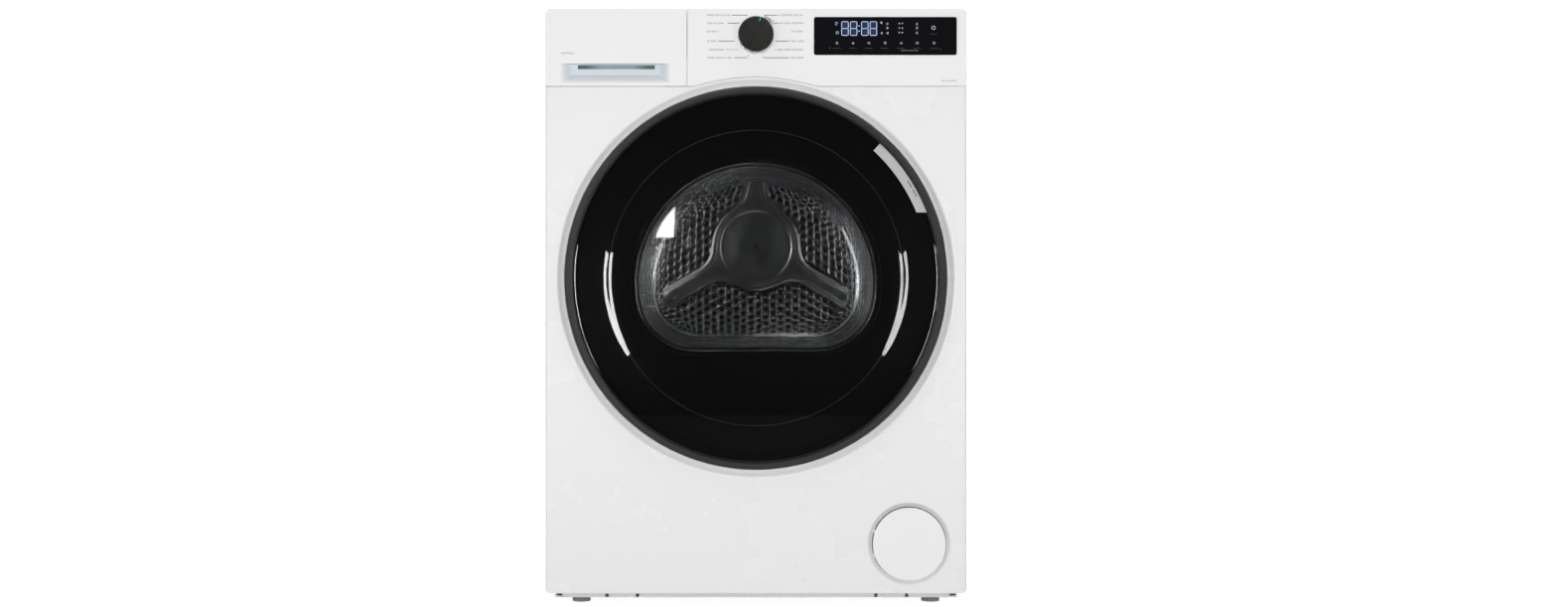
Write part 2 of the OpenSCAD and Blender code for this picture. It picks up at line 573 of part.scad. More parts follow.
module condensate_pump() place() color(grey) {
  box(-205, -150, 425, 485, 22.5, 66);
  cyl_z(-175, 460, 65.9, 76, 14);
  run([[-175, 460, 75], [-175, 460, 95], [-175, 508, 95], [-286, 508, 95], [-286, 508, 812], [-268, 508, 812], [-268, 508, 826], [-268, 380, 826], [-200, 380, 826]], 3.5);
}
module power_inlet() place() color(dark) difference() {
  union() { cyl_y(-250, 780, cab_d + e, cab_d + 3, 12); cyl_y(-250, 780, cab_d - 9, cab_d + 14, 7.9); }
  cyl_y(-250, 780, 500, 570, 4.2);
}
module drain_spigot() place() color(grey) difference() {
  union() { cyl_y(-268, 735, cab_d + e, cab_d + 2.5, 11); cyl_y(-268, 735, cab_d - 6, cab_d + 18, 5.5); cyl_y(-268, 735, cab_d - 6, cab_d + 0.1, 6.9); }
  cyl_y(-268, 735, 500, 580, 3.6);
}
module screw_y(x, z, y, r, l) { // a pan head screw whose head's seat is at y, pointing to the front
  cyl_y(x, z, y + e, y + 2.2, 2 * r);
  cyl_y(x, z, y - l, y + 0.1, r);
}
module case_screws() place() color([0.2, 0.2, 0.21]) {
  for (p = rear_screws) screw_y(p[0], p[1], cab_d, 2, 8);
  for (p = cover_screws) screw_y(p[0], p[1], cab_d + sheet, 2, 8);
  for (x = plinth_screws) { cyl_y(x, 14.6, 3.4, 5 - e, 2.5); cyl_y(x, 14.6, 4.9, 11, 1.4); }
  for (z = [-26, 26]) { cyl_y(212, door_z + z, 5.1, 6.2 - e, 3.6); cyl_y(212, door_z + z, 6.1, 14, 2); }
}
module foot(s, y) place() color(grey) {
  cyl_z(s * foot_x, y, 0, 8, foot_r);
  cyl_z(s * foot_x, y, 7.9, 11.8, 9);
  cyl_z(s * foot_x, y, 11.7, 44, 5);
}
module front_left_foot() foot(-1, 48);
module front_right_foot() foot(1, 48);
module rear_left_foot() foot(-1, 500);
module rear_right_foot() foot(1, 500);

front_panel();
left_side_panel();
right_side_panel();
rear_panel();
rear_duct_cover();
bearing_bracket();
drum_bearing();
rear_air_seal();
worktop();
control_panel();
display_window();
control_board();
programme_knob();
filter_shaft();
tank_front();
water_tank();
tank_lid();
tank_guide();
front_bulkhead();
front_drum_felt();
moisture_sensor();
interior_lamp();
lint_filter();
drum_shell();
drum_back();
drum_lifters();
drum_shaft();
drum_belt();
roller_axles();
left_roller();
right_roller();
door_ring();
door_glass();
door_liner();
door_bowl();
door_gasket();
door_hinge_block();
hinge_bracket();
door_hook();
door_lock();
hatch_bezel();
service_hatch();
base_tray();
plinth_rail();
heat_exchanger_housing();
evaporator();
condenser();
motor();
motor_rotor();
fan_housing();
compressor();
refrigerant_pipes();
condensate_pump();
power_inlet();
drain_spigot();
case_screws();
front_left_foot();
front_right_foot();
rear_left_foot();
rear_right_foot();
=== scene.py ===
import bpy, bmesh, math, json
from mathutils import Vector, Matrix, noise


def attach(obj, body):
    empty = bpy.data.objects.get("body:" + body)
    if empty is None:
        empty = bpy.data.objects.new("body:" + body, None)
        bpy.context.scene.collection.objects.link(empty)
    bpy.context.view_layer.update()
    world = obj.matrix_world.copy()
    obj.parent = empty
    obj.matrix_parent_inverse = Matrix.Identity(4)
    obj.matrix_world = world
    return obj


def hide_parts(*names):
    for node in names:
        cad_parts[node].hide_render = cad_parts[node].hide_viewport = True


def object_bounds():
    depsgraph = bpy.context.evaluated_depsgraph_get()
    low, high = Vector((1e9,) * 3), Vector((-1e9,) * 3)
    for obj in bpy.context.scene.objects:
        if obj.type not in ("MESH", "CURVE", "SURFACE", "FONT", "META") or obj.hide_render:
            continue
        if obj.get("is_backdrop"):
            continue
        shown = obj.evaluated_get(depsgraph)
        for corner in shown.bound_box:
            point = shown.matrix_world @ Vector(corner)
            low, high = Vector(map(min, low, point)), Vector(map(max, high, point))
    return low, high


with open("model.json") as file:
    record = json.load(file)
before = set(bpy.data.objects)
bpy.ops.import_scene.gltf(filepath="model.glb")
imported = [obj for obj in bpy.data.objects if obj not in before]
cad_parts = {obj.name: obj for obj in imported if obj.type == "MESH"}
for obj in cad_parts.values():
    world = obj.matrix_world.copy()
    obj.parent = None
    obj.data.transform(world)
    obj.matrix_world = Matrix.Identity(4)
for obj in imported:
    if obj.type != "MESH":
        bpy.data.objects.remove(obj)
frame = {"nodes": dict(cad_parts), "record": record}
CAD_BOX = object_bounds()

# ---------------------------------------------------------------- helpers
Y0 = 0.2665            # the front panel's face is at y = -Y0
DOOR_Z, D_Z, DRUM_Z = 0.4667, 0.459, 0.527
def V(x, y, z):        # millimetres, y measured back from the front panel's face -> metres in the row frame
    return (x / 1000.0, y / 1000.0 - Y0, z / 1000.0)

def new_mesh(name, verts, faces, smooth=True):
    me = bpy.data.meshes.new(name)
    me.from_pydata(verts, [], faces)
    me.validate(); me.update()
    ob = bpy.data.objects.new(name, me)
    bpy.context.scene.collection.objects.link(ob)
    bm = bmesh.new(); bm.from_mesh(me)
    bmesh.ops.remove_doubles(bm, verts=bm.verts, dist=1e-6)
    bmesh.ops.recalc_face_normals(bm, faces=bm.faces)
    bm.to_mesh(me); bm.free()
    for p in me.polygons:
        p.use_smooth = smooth
    return ob

def sharpen(ob, deg=35.0):
    """Smooth shading with edges over deg kept sharp."""
    me = ob.data
    bm = bmesh.new(); bm.from_mesh(me)
    lim = math.radians(deg)
    for e in bm.edges:
        e.smooth = not (len(e.link_faces) == 2 and e.calc_face_angle(0.0) > lim)
    for f in bm.faces:
        f.smooth = True
    bm.to_mesh(me); bm.free()
    return ob

def fin(ob, body, mat, replaces=None):
    ob.data.materials.clear(); ob.data.materials.append(mat)
    if replaces:
        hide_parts(*([replaces] if isinstance(replaces, str) else replaces))
    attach(ob, body)
    return ob

def lathe(name, prof, cx, cz, n=128, close=True, smooth=True):
    """prof [(r, y)] in mm turned about a Y axis through (cx, cz)."""
    verts, faces, ring = [], [], []
    for r, y in prof:
        if r < 1e-6:
            ring.append([len(verts)]); verts.append(V(cx, y, cz))
        else:
            ring.append(list(range(len(verts), len(verts) + n)))
            for i in range(n):
                a = 2 * math.pi * i / n
                verts.append(V(cx + r * math.cos(a), y, cz + r * math.sin(a)))
    m = len(prof)
    for k in range(m if close else m - 1):
        a, b = ring[k], ring[(k + 1) % m]
        if len(a) == 1 and len(b) == 1:
            continue
        for i in range(n):
            j = (i + 1) % n
            if len(a) == 1:
                faces.append((a[0], b[i], b[j]))
            elif len(b) == 1:
                faces.append((a[i], a[j], b[0]))
            else:
                faces.append((a[i], a[j], b[j], b[i]))
    return new_mesh(name, verts, faces, smooth)

def d_pts(R, b, f, n=96, m=24):
    """D outline as in the design: circle R cut flat b below its centre, corner radius f. (x, z) in mm about the D's centre."""
    cx = math.sqrt((R - f) ** 2 - (b - f) ** 2)
    a = math.atan2(f - b, cx)
    out = []
    for i in range(n + 1):
        t = a + (math.pi - 2 * a) * i / n
        out.append((R * math.cos(t), R * math.sin(t)))
    for i in range(1, m + 1):
        t = math.pi - a + (math.pi / 2 + a) * i / m
        out.append((-cx + f * math.cos(t), f - b + f * math.sin(t)))
    for i in range(m):
        t = 1.5 * math.pi + (math.pi / 2 + a) * i / m
        out.append((cx + f * math.cos(t), f - b + f * math.sin(t)))
    return out

def loft(name, rings, closed_ends=(True, True), smooth=True, loop=False):
    """rings: lists of equal length of 3D points (metres)."""
    n = len(rings[0]); verts = [p for r in rings for p in r]; faces = []
    m = len(rings)
    for k in range(m if loop else m - 1):
        a, b = k * n, ((k + 1) % m) * n
        for i in range(n):
            j = (i + 1) % n
            faces.append((a + i, a + j, b + j, b + i))
    if not loop:
        if closed_ends[0]: faces.append(tuple(range(n)))
        if closed_ends[1]: faces.append(tuple(range((m - 1) * n, m * n)))
    return new_mesh(name, verts, faces, smooth)

def smoothstep(a, b, x):
    t = max(0.0, min(1.0, (x - a) / (b - a)))
    return t * t * (3 - 2 * t)

# ---------------------------------------------------------------- materials
def mat_base(name):
    m = bpy.data.materials.new(name); m.use_nodes = True
    nt = m.node_tree
    return m, nt, nt.nodes["Principled BSDF"]

def node(nt, kind, **kw):
    n = nt.nodes.new(kind)
    for k, v in kw.items():
        setattr(n, k, v)
    return n

def coords(nt, scale=(1, 1, 1)):
    tc = node(nt, "ShaderNodeTexCoord")
    mp = node(nt, "ShaderNodeMapping"); mp.inputs["Scale"].default_value = scale
    nt.links.new(tc.outputs["Object"], mp.inputs["Vector"])
    return mp.outputs["Vector"]

def ramp(nt, fac, c0, c1, p0=0.0, p1=1.0):
    r = node(nt, "ShaderNodeValToRGB")
    r.color_ramp.elements[0].position = p0; r.color_ramp.elements[1].position = p1
    r.color_ramp.elements[0].color = (*c0, 1) if len(c0) == 3 else c0
    r.color_ramp.elements[1].color = (*c1, 1) if len(c1) == 3 else c1
    nt.links.new(fac, r.inputs["Fac"])
    return r.outputs["Color"]

def noise_tex(nt, vec, scale, detail=3.0, rough=0.5):
    n = node(nt, "ShaderNodeTexNoise")
    n.inputs["Scale"].default_value = scale; n.inputs["Detail"].default_value = detail
    n.inputs["Roughness"].default_value = rough
    nt.links.new(vec, n.inputs["Vector"])
    return n.outputs["Fac"]

def bump(nt, bsdf, height, strength, dist):
    b = node(nt, "ShaderNodeBump")
    b.inputs["Strength"].default_value = strength; b.inputs["Distance"].default_value = dist
    nt.links.new(height, b.inputs["Height"]); nt.links.new(b.outputs["Normal"], bsdf.inputs["Normal"])
    return b

def enamel(name, col, rough=0.28, var=0.012, spec=0.5, coat=0.0, peel=0.02, scale=55.0):
    """Paint or moulded plastic: faint colour drift, roughness drift and a fine surface texture."""
    m, nt, b = mat_base(name)
    v = coords(nt)
    lo = tuple(max(0, c - var) for c in col); hi = tuple(min(1, c + var) for c in col)
    nt.links.new(ramp(nt, noise_tex(nt, v, 3.1, 4.0), lo, hi, 0.2, 0.8), b.inputs["Base Color"])
    r0 = (max(0.02, rough - 0.04),) * 3; r1 = (rough + 0.05,) * 3
    nt.links.new(ramp(nt, noise_tex(nt, v, 9.0, 3.0), r0, r1, 0.2, 0.8), b.inputs["Roughness"])
    b.inputs["Specular IOR Level"].default_value = spec
    b.inputs["Coat Weight"].default_value = coat
    b.inputs["Coat Roughness"].default_value = 0.08
    bump(nt, b, noise_tex(nt, v, scale * 10, 2.0), peel, 0.0004)
    return m

def brushed(name, col, rough=0.3, stretch=(1, 1, 60), scale=60, var=0.1, bmp=0.05, metallic=1.0):
    m, nt, b = mat_base(name)
    v = coords(nt, stretch)
    n = noise_tex(nt, v, scale, 4.0, 0.6)
    lo = tuple(max(0, c * (1 - var)) for c in col); hi = tuple(min(1, c * (1 + var)) for c in col)
    nt.links.new(ramp(nt, n, lo, hi, 0.3, 0.7), b.inputs["Base Color"])
    nt.links.new(ramp(nt, n, (rough - 0.06,) * 3, (rough + 0.08,) * 3, 0.3, 0.7), b.inputs["Roughness"])
    b.inputs["Metallic"].default_value = metallic
    bump(nt, b, n, bmp, 0.0005)
    return m

def galvanised(name, col=(0.5, 0.52, 0.54)):
    """Zinc spangle."""
    m, nt, b = mat_base(name)
    v = coords(nt)
    vo = node(nt, "ShaderNodeTexVoronoi"); vo.inputs["Scale"].default_value = 90
    nt.links.new(v, vo.inputs["Vector"])
    sep = node(nt, "ShaderNodeSeparateColor"); nt.links.new(vo.outputs["Color"], sep.inputs["Color"])
    nt.links.new(ramp(nt, sep.outputs["Red"], tuple(c * 0.86 for c in col), tuple(min(1, c * 1.14) for c in col)), b.inputs["Base Color"])
    nt.links.new(ramp(nt, sep.outputs["Green"], (0.34,) * 3, (0.52,) * 3), b.inputs["Roughness"])
    b.inputs["Metallic"].default_value = 0.9
    bump(nt, b, noise_tex(nt, v, 300, 2.0), 0.04, 0.0005)
    return m

def rubber(name, col, rough=0.62, grain=420, bmp=0.12):
    m, nt, b = mat_base(name)
    v = coords(nt)
    n = noise_tex(nt, v, grain, 4.0, 0.6)
    nt.links.new(ramp(nt, n, tuple(c * 0.75 for c in col), tuple(min(1, c * 1.3) for c in col), 0.35, 0.65), b.inputs["Base Color"])
    nt.links.new(ramp(nt, noise_tex(nt, v, 40, 3.0), (rough - 0.06,) * 3, (rough + 0.08,) * 3), b.inputs["Roughness"])
    bump(nt, b, n, bmp, 0.0004)
    return m

def felt(name, col):
    m, nt, b = mat_base(name)
    v = coords(nt)
    n = noise_tex(nt, v, 900, 5.0, 0.75)
    nt.links.new(ramp(nt, n, tuple(c * 0.6 for c in col), tuple(min(1, c * 1.3) for c in col), 0.3, 0.7), b.inputs["Base Color"])
    b.inputs["Roughness"].default_value = 0.95
    b.inputs["Sheen Weight"].default_value = 0.3
    bump(nt, b, n, 0.5, 0.001)
    return m

def flat_glow(name, col, strength):
    m, nt, b = mat_base(name)
    v = coords(nt)
    c = ramp(nt, noise_tex(nt, v, 140, 2.0), tuple(x * 0.92 for x in col), col)
    nt.links.new(c, b.inputs["Base Color"]); nt.links.new(c, b.inputs["Emission Color"])
    b.inputs["Emission Strength"].default_value = strength
    b.inputs["Roughness"].default_value = 0.4
    return m

# ---------------------------------------------------------------- camera and studio
cam_d = bpy.data.cameras.new("camera"); cam = bpy.data.objects.new("camera", cam_d)
bpy.context.scene.collection.objects.link(cam)
cam.location = V(0, -2500, 430); cam.rotation_euler = (math.pi / 2, 0, 0)
cam_d.sensor_width = 36.0; cam_d.sensor_fit = 'HORIZONTAL'; cam_d.lens = 40.29
cam_d.shift_x = 0.0179; cam_d.shift_y = 0.0003; cam_d.clip_end = 50
bpy.context.scene.camera = cam
sc = bpy.context.scene
sc.view_settings.view_transform = 'Standard'; sc.view_settings.look = 'None'

w = bpy.data.worlds.new("studio"); sc.world = w; w.use_nodes = True
wn = w.node_tree; wn.nodes.clear()
w_out = wn.nodes.new("ShaderNodeOutputWorld"); w_mix = wn.nodes.new("ShaderNodeMixShader")
w_cam = wn.nodes.new("ShaderNodeBackground"); w_lit = wn.nodes.new("ShaderNodeBackground")
w_lp = wn.nodes.new("ShaderNodeLightPath"); w_tc = wn.nodes.new("ShaderNodeTexCoord")
w_sep = wn.nodes.new("ShaderNodeSeparateXYZ"); w_rmp = wn.nodes.new("ShaderNodeValToRGB")
w_cam.inputs["Color"].default_value = (1, 1, 1, 1); w_cam.inputs["Strength"].default_value = 1.05
# the room is dark behind the camera, so that the door reads black, and pale to the sides, above and behind
wn.links.new(w_tc.outputs["Generated"], w_sep.inputs["Vector"])
w_map = wn.nodes.new("ShaderNodeMapRange"); w_map.inputs["From Min"].default_value = -1.0; w_map.inputs["From Max"].default_value = 1.0
wn.links.new(w_sep.outputs["Y"], w_map.inputs["Value"]); wn.links.new(w_map.outputs["Result"], w_rmp.inputs["Fac"])
e0, e1 = w_rmp.color_ramp.elements
e0.position, e0.color = 0.10, (0.012, 0.012, 0.013, 1); e1.position, e1.color = 0.62, (0.62, 0.63, 0.64, 1)
wn.links.new(w_rmp.outputs["Color"], w_lit.inputs["Color"]); w_lit.inputs["Strength"].default_value = 1.0
wn.links.new(w_lp.outputs["Is Camera Ray"], w_mix.inputs["Fac"])
wn.links.new(w_lit.outputs["Background"], w_mix.inputs[1]); wn.links.new(w_cam.outputs["Background"], w_mix.inputs[2])
wn.links.new(w_mix.outputs["Shader"], w_out.inputs["Surface"])

def area(name, loc, target, sx, sy, power, col=(1, 1, 1), glossy=True):
    l = bpy.data.lights.new(name, 'AREA'); l.shape = 'RECTANGLE'; l.size = sx; l.size_y = sy
    l.energy = power; l.color = col
    o = bpy.data.objects.new(name, l); sc.collection.objects.link(o)
    o.location = loc
    o.rotation_euler = (Vector(target) - Vector(loc)).to_track_quat('-Z', 'Y').to_euler()
    o.visible_camera = False
    o.visible_glossy = glossy
    o.visible_transmission = glossy
    return o
area("key_left", (-2.3, -2.1, 1.25), (0, -0.2, 0.45), 1.1, 1.9, 9)
area("key_right", (2.3, -2.1, 1.25), (0, -0.2, 0.45), 1.1, 1.9, 8)
area("overhead", (0, -0.9, 2.9), (0, -0.1, 0.4), 2.4, 1.8, 8)
area("back_fill", (0.6, 2.6, 1.7), (0, 0.2, 0.45), 2.4, 1.6, 40)
area("front_soft", (0, -3.4, 0.50), (0, -0.2, 0.42), 1.1, 0.8, 62, glossy=False)
area("strip_left", (-1.1, -2.6, 0.29), (0, 0, 0.467), 0.16, 0.82, 9.0)
area("strip_right", (1.1, -2.6, 0.29), (0, 0, 0.467), 0.16, 0.82, 6.5)
# a small card of this outline is what the door's dome mirrors at the window's left edge
CARD = [(-116.4, 569.5), (-125.9, 558.2), (-134.4, 547.4), (-142.7, 530.7), (-145.1, 521.8), (-114.0, 521.1), (-114.4, 567.8)]
me = bpy.data.meshes.new("card")
me.from_pydata([(-0.2815 + (x + 129.5) * 0.00194, -2.62, 0.6735 + (z - 545.3) * 0.00194) for x, z in CARD], [], [tuple(range(len(CARD)))])
card = bpy.data.objects.new("card", me); sc.collection.objects.link(card)
cm, nt, b = mat_base("card_white")
b.inputs["Base Color"].default_value = (0, 0, 0, 1); b.inputs["Roughness"].default_value = 1.0
nt.links.new(ramp(nt, noise_tex(nt, coords(nt), 3.0, 1.0), (0.97, 0.98, 1.0), (1.0, 1.0, 1.0)), b.inputs["Emission Color"])
b.inputs["Emission Strength"].default_value = 26.0
card.data.materials.append(cm)
card.visible_camera = card.visible_diffuse = card.visible_shadow = card.visible_transmission = False
card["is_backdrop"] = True

me = bpy.data.meshes.new("floor")
bm = bmesh.new(); bmesh.ops.create_grid(bm, x_segments=8, y_segments=8, size=9.0); bmesh.ops.translate(bm, verts=bm.verts, vec=(0, 9.0 - 0.75, 0)); bm.to_mesh(me); bm.free()
floor = bpy.data.objects.new("floor", me); sc.collection.objects.link(floor)
fm, nt, b = mat_base("floor")
nt.links.new(ramp(nt, noise_tex(nt, coords(nt), 1.2, 2.0), (0.30, 0.30, 0.30), (0.33, 0.33, 0.33)), b.inputs["Base Color"])
b.inputs["Roughness"].default_value = 0.9; b.inputs["Specular IOR Level"].default_value = 0.0
b.inputs["Emission Color"].default_value = (1, 1, 1, 1); b.inputs["Emission Strength"].default_value = 0.93
floor.data.materials.append(fm)
floor.visible_diffuse = False; floor.visible_glossy = False      # it isn't to light the front from below
floor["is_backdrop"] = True

# ---------------------------------------------------------------- materials of the CAD nodes
WHITE = (0.80, 0.805, 0.80)
mat = {
    "white_enamel": enamel("white_enamel", WHITE, 0.26, 0.004, 0.5, 0.15, 0.015),
    "fascia_plastic": enamel("fascia_plastic", (0.81, 0.815, 0.81), 0.34, 0.008, 0.45, 0.0, 0.02, 80),
    "worktop_laminate": enamel("worktop_laminate", (0.80, 0.80, 0.795), 0.42, 0.015, 0.4, 0.0, 0.06, 110),
    "galvanised_steel": galvanised("galvanised_steel"),
    "stainless_steel": brushed("stainless_steel", (0.42, 0.43, 0.44), 0.30, (1, 40, 1), 30, 0.10, 0.04),
    "black_gloss_plastic": enamel("black_satin", (0.022, 0.023, 0.024), 0.42, 0.004, 0.5, 0.0, 0.05, 90),
    "chrome_trim": brushed("chrome_trim", (0.80, 0.81, 0.82), 0.10, (1, 1, 1), 20, 0.03, 0.01),
    "circuit_board": enamel("circuit_board", (0.03, 0.20, 0.09), 0.35, 0.02, 0.5, 0.0, 0.1, 60),
    "light_plastic": enamel("light_plastic", (0.60, 0.61, 0.61), 0.45, 0.015, 0.4, 0.0, 0.08, 90),
    "dark_plastic": enamel("dark_plastic", (0.05, 0.05, 0.053), 0.5, 0.012, 0.4, 0.0, 0.10, 100),
    "tank_plastic": enamel("tank_plastic", (0.70, 0.72, 0.73), 0.32, 0.02, 0.5, 0.0, 0.04, 70),
    "grey_plastic": enamel("grey_plastic", (0.25, 0.26, 0.27), 0.45, 0.015, 0.4, 0.0, 0.08, 90),
    "bezel_plastic": enamel("bezel_plastic", (0.78, 0.79, 0.80), 0.30, 0.01, 0.5, 0.0, 0.03, 80),
    "door_rubber": rubber("door_rubber", (0.06, 0.06, 0.062)),
    "roller_rubber": rubber("roller_rubber", (0.07, 0.07, 0.072)),
    "belt_rubber": rubber("belt_rubber", (0.02, 0.02, 0.02)),
    "drum_felt": felt("drum_felt", (0.40, 0.39, 0.37)),
    "zinc_casting": brushed("zinc_casting", (0.55, 0.56, 0.58), 0.42, (1, 1, 1), 120, 0.08, 0.10),
    "fin_aluminium": brushed("fin_aluminium", (0.68, 0.69, 0.70), 0.35, (60, 1, 1), 40, 0.10, 0.08),
    "motor_aluminium": brushed("motor_aluminium", (0.45, 0.46, 0.47), 0.5, (1, 1, 1), 200, 0.10, 0.20),
    "compressor_paint": enamel("compressor_paint", (0.03, 0.03, 0.032), 0.33, 0.006, 0.5, 0.2, 0.04, 40),
    "copper_pipe": brushed("copper_pipe", (0.62, 0.32, 0.20), 0.28, (1, 1, 1), 60, 0.10, 0.03),
    "screw_steel": brushed("screw_steel", (0.20, 0.20, 0.21), 0.35, (1, 1, 1), 90, 0.15, 0.05),
    "foot_rubber": rubber("foot_rubber", (0.20, 0.20, 0.205)),
    "knob_black": enamel("knob_black", (0.020, 0.020, 0.022), 0.32, 0.004, 0.5, 0.0, 0.03, 60),
}
# the front sheet: the same enamel, with painted light in the dish about the door: a lighter colour there offsets the
# shade the door's ring casts into the recess
m_front_dish_painted_light = enamel("front_enamel_dish_painted_light", WHITE, 0.26, 0.004, 0.5, 0.15, 0.015)
nt = m_front_dish_painted_light.node_tree; b = next(n for n in nt.nodes if n.type == 'BSDF_PRINCIPLED')
tcf = node(nt, "ShaderNodeTexCoord"); mpf = node(nt, "ShaderNodeMapping"); nt.links.new(tcf.outputs["Object"], mpf.inputs["Vector"])
mpf.inputs["Location"].default_value = (0.0, 0.0, -0.4667); mpf.inputs["Scale"].default_value = (1.0, 0.0, 1.0)
lnf = node(nt, "ShaderNodeVectorMath", operation='LENGTH'); nt.links.new(mpf.outputs["Vector"], lnf.inputs[0])
mrf = node(nt, "ShaderNodeMapRange"); nt.links.new(lnf.outputs["Value"], mrf.inputs["Value"])
mrf.inputs["From Min"].default_value = 0.2845; mrf.inputs["From Max"].default_value = 0.2865
mrg = node(nt, "ShaderNodeMapRange", interpolation_type='SMOOTHSTEP'); nt.links.new(lnf.outputs["Value"], mrg.inputs["Value"])
mrg.inputs["From Min"].default_value = 0.205; mrg.inputs["From Max"].default_value = 0.272
mrg.inputs["To Min"].default_value = 1.0; mrg.inputs["To Max"].default_value = 0.0
mxm = node(nt, "ShaderNodeMath", operation='MAXIMUM'); nt.links.new(mrf.outputs["Result"], mxm.inputs[0]); nt.links.new(mrg.outputs["Result"], mxm.inputs[1])
mxf = node(nt, "ShaderNodeMix", data_type='RGBA'); nt.links.new(mxm.outputs[0], mxf.inputs[0])
# painted light: the dish's lighter colour, full from the door's ring out to r 0.2845 m and fading in from r 0.205 m
# behind the door
mxf.inputs[6].default_value = (0.96, 0.965, 0.97, 1)
src = b.inputs["Base Color"].links[0].from_socket
nt.links.new(src, mxf.inputs[7]); nt.links.new(mxf.outputs[2], b.inputs["Base Color"])
mat["front_enamel_dish_painted_light"] = m_front_dish_painted_light
# the tank's front: the same plastic, with painted shade down in the grip: a cooler bluish grey the deeper the surface
# lies behind the front
m_tank_grip_painted_shade = enamel("tank_fascia_grip_painted_shade", (0.81, 0.815, 0.81), 0.34, 0.008, 0.45, 0.0, 0.02, 80)
nt = m_tank_grip_painted_shade.node_tree; b = next(n for n in nt.nodes if n.type == 'BSDF_PRINCIPLED')
tct = node(nt, "ShaderNodeTexCoord"); spt = node(nt, "ShaderNodeSeparateXYZ"); nt.links.new(tct.outputs["Object"], spt.inputs["Vector"])
mrt = node(nt, "ShaderNodeMapRange"); nt.links.new(spt.outputs["Y"], mrt.inputs["Value"])
mrt.inputs["From Min"].default_value = V(0, -1.7, 0)[1]; mrt.inputs["From Max"].default_value = V(0, 2.5, 0)[1]
mxt = node(nt, "ShaderNodeMix", data_type='RGBA'); nt.links.new(mrt.outputs["Result"], mxt.inputs[0])
src = b.inputs["Base Color"].links[0].from_socket
# painted shade: the bluish grey of the grip's recess
nt.links.new(src, mxt.inputs[6]); mxt.inputs[7].default_value = (0.62, 0.665, 0.70, 1)
nt.links.new(mxt.outputs[2], b.inputs["Base Color"])
mat["tank_fascia_grip_painted_shade"] = m_tank_grip_painted_shade
def glassy(name, col, rough, ior, alpha, var=0.003):
    """Dark or clear glass seen as a film: mirror-like, and see-through by its alpha."""
    m, nt, b = mat_base(name)
    v = coords(nt)
    nt.links.new(ramp(nt, noise_tex(nt, v, 4.0, 2.0), tuple(max(0, c - var) for c in col), tuple(c + var for c in col)), b.inputs["Base Color"])
    b.inputs["Roughness"].default_value = rough; b.inputs["IOR"].default_value = ior; b.inputs["Alpha"].default_value = alpha
    return m
mat["lamp_lens"] = glassy("lamp_lens", (0.8, 0.82, 0.85), 0.35, 1.5, 0.7)
mat["display_glass"] = glassy("display_glass", (0.006, 0.006, 0.007), 0.06, 1.5, 1.0, 0.001)
mat["dark_door_glass"] = glassy("dark_door_glass", (0.004, 0.004, 0.0045), 0.02, 1.65, 0.54, 0.001)
mat["clear_bowl_glass"] = glassy("clear_bowl_glass", (0.10, 0.105, 0.11), 0.03, 1.9, 0.16)
slots = {s["node"]: s["material_slot"] for s in frame["record"]["subparts"]}
for n, o in frame["nodes"].items():
    o.data.materials.clear()
    o.data.materials.append(mat[{"front_panel": "front_enamel_dish_painted_light", "tank_front": "tank_fascia_grip_painted_shade"}.get(n, slots[n])])

# ---------------------------------------------------------------- door: domed pane, printed mask, bowl
GL = [(0, -26.0), (60, -25.96), (120, -25.8), (165, -25.45), (189, -25.12), (198, -24.85), (203, -24.5), (207, -23.95), (211, -23.3),
      (215, -22.7), (219, -22.3), (223.5, -22.02), (229, -21.6), (240, -20.95), (250, -20.35), (255, -19.95), (257.6, -19.6), (258.7, -19.1)]
def pane_y(r):
    for (r0, y0), (r1, y1) in zip(GL, GL[1:]):
        if r <= r1:
            return y0 + (y1 - y0) * (r - r0) / (r1 - r0)
    return GL[-1][1]
def fine(prof, k=3):
    """Catmull-Rom through the profile's points."""
    out = []
    for i in range(len(prof) - 1):
        p0 = prof[max(0, i - 1)]; p1 = prof[i]; p2 = prof[i + 1]; p3 = prof[min(len(prof) - 1, i + 2)]
        for s in range(k):
            t = s / k
            out.append(tuple(0.5 * ((2 * b) + (-a + c) * t + (2 * a - 5 * b + 4 * c - d) * t * t + (-a + 3 * b - 3 * c + d) * t ** 3)
                             for a, b, c, d in zip(p0, p1, p2, p3)))
    out.append(prof[-1])
    return [(max(0.0, p[0]), p[1]) for p in out]
front = fine(GL, 3)
pane = lathe("door_pane", front + [(258.7, -16.2)] + [(r, y + 3.6) for r, y in reversed(front) if r < 257], 0, 466.7, 192, close=False)
fin(sharpen(pane, 50), "door", mat["dark_door_glass"], "door_glass")

def d_ring(R, b, f, y, cz=459.0, n=96, m=24):
    return [V(x, y, cz + z) for x, z in d_pts(R, b, f, n, m)]
hole = d_pts(177.5, 101.5, 88)
rings = []
for k in range(13):
    t = k / 12.0
    ring = []
    for x, z in hole:
        a = math.atan2(z, x)
        cx, cz = 257.0 * math.cos(a), 257.0 * math.sin(a) + 7.7
        px, pz = cx + (x - cx) * t, cz + (z - cz) * t
        r = math.hypot(px, pz - 7.7)
        ring.append(V(px, pane_y(r) + 3.95, 459.0 + pz))
    rings.append(ring)
for R, y in ((177.6, -16.0), (178.4, -9.0), (179.4, -3.0)):
    rings.append([V(px, y, 459.0 + pz) for px, pz in d_pts(R, R - 76.0, 88)])
mask = loft("door_mask", rings, (False, False))
so = mask.modifiers.new("thickness", 'SOLIDIFY'); so.thickness = 0.0004; so.offset = 0.0
m_mask = enamel("mask_black", (0.0105, 0.0105, 0.011), 0.30, 0.002, 0.5, 0.0, 0.02, 60)
fin(sharpen(mask, 40), "door", m_mask, None)

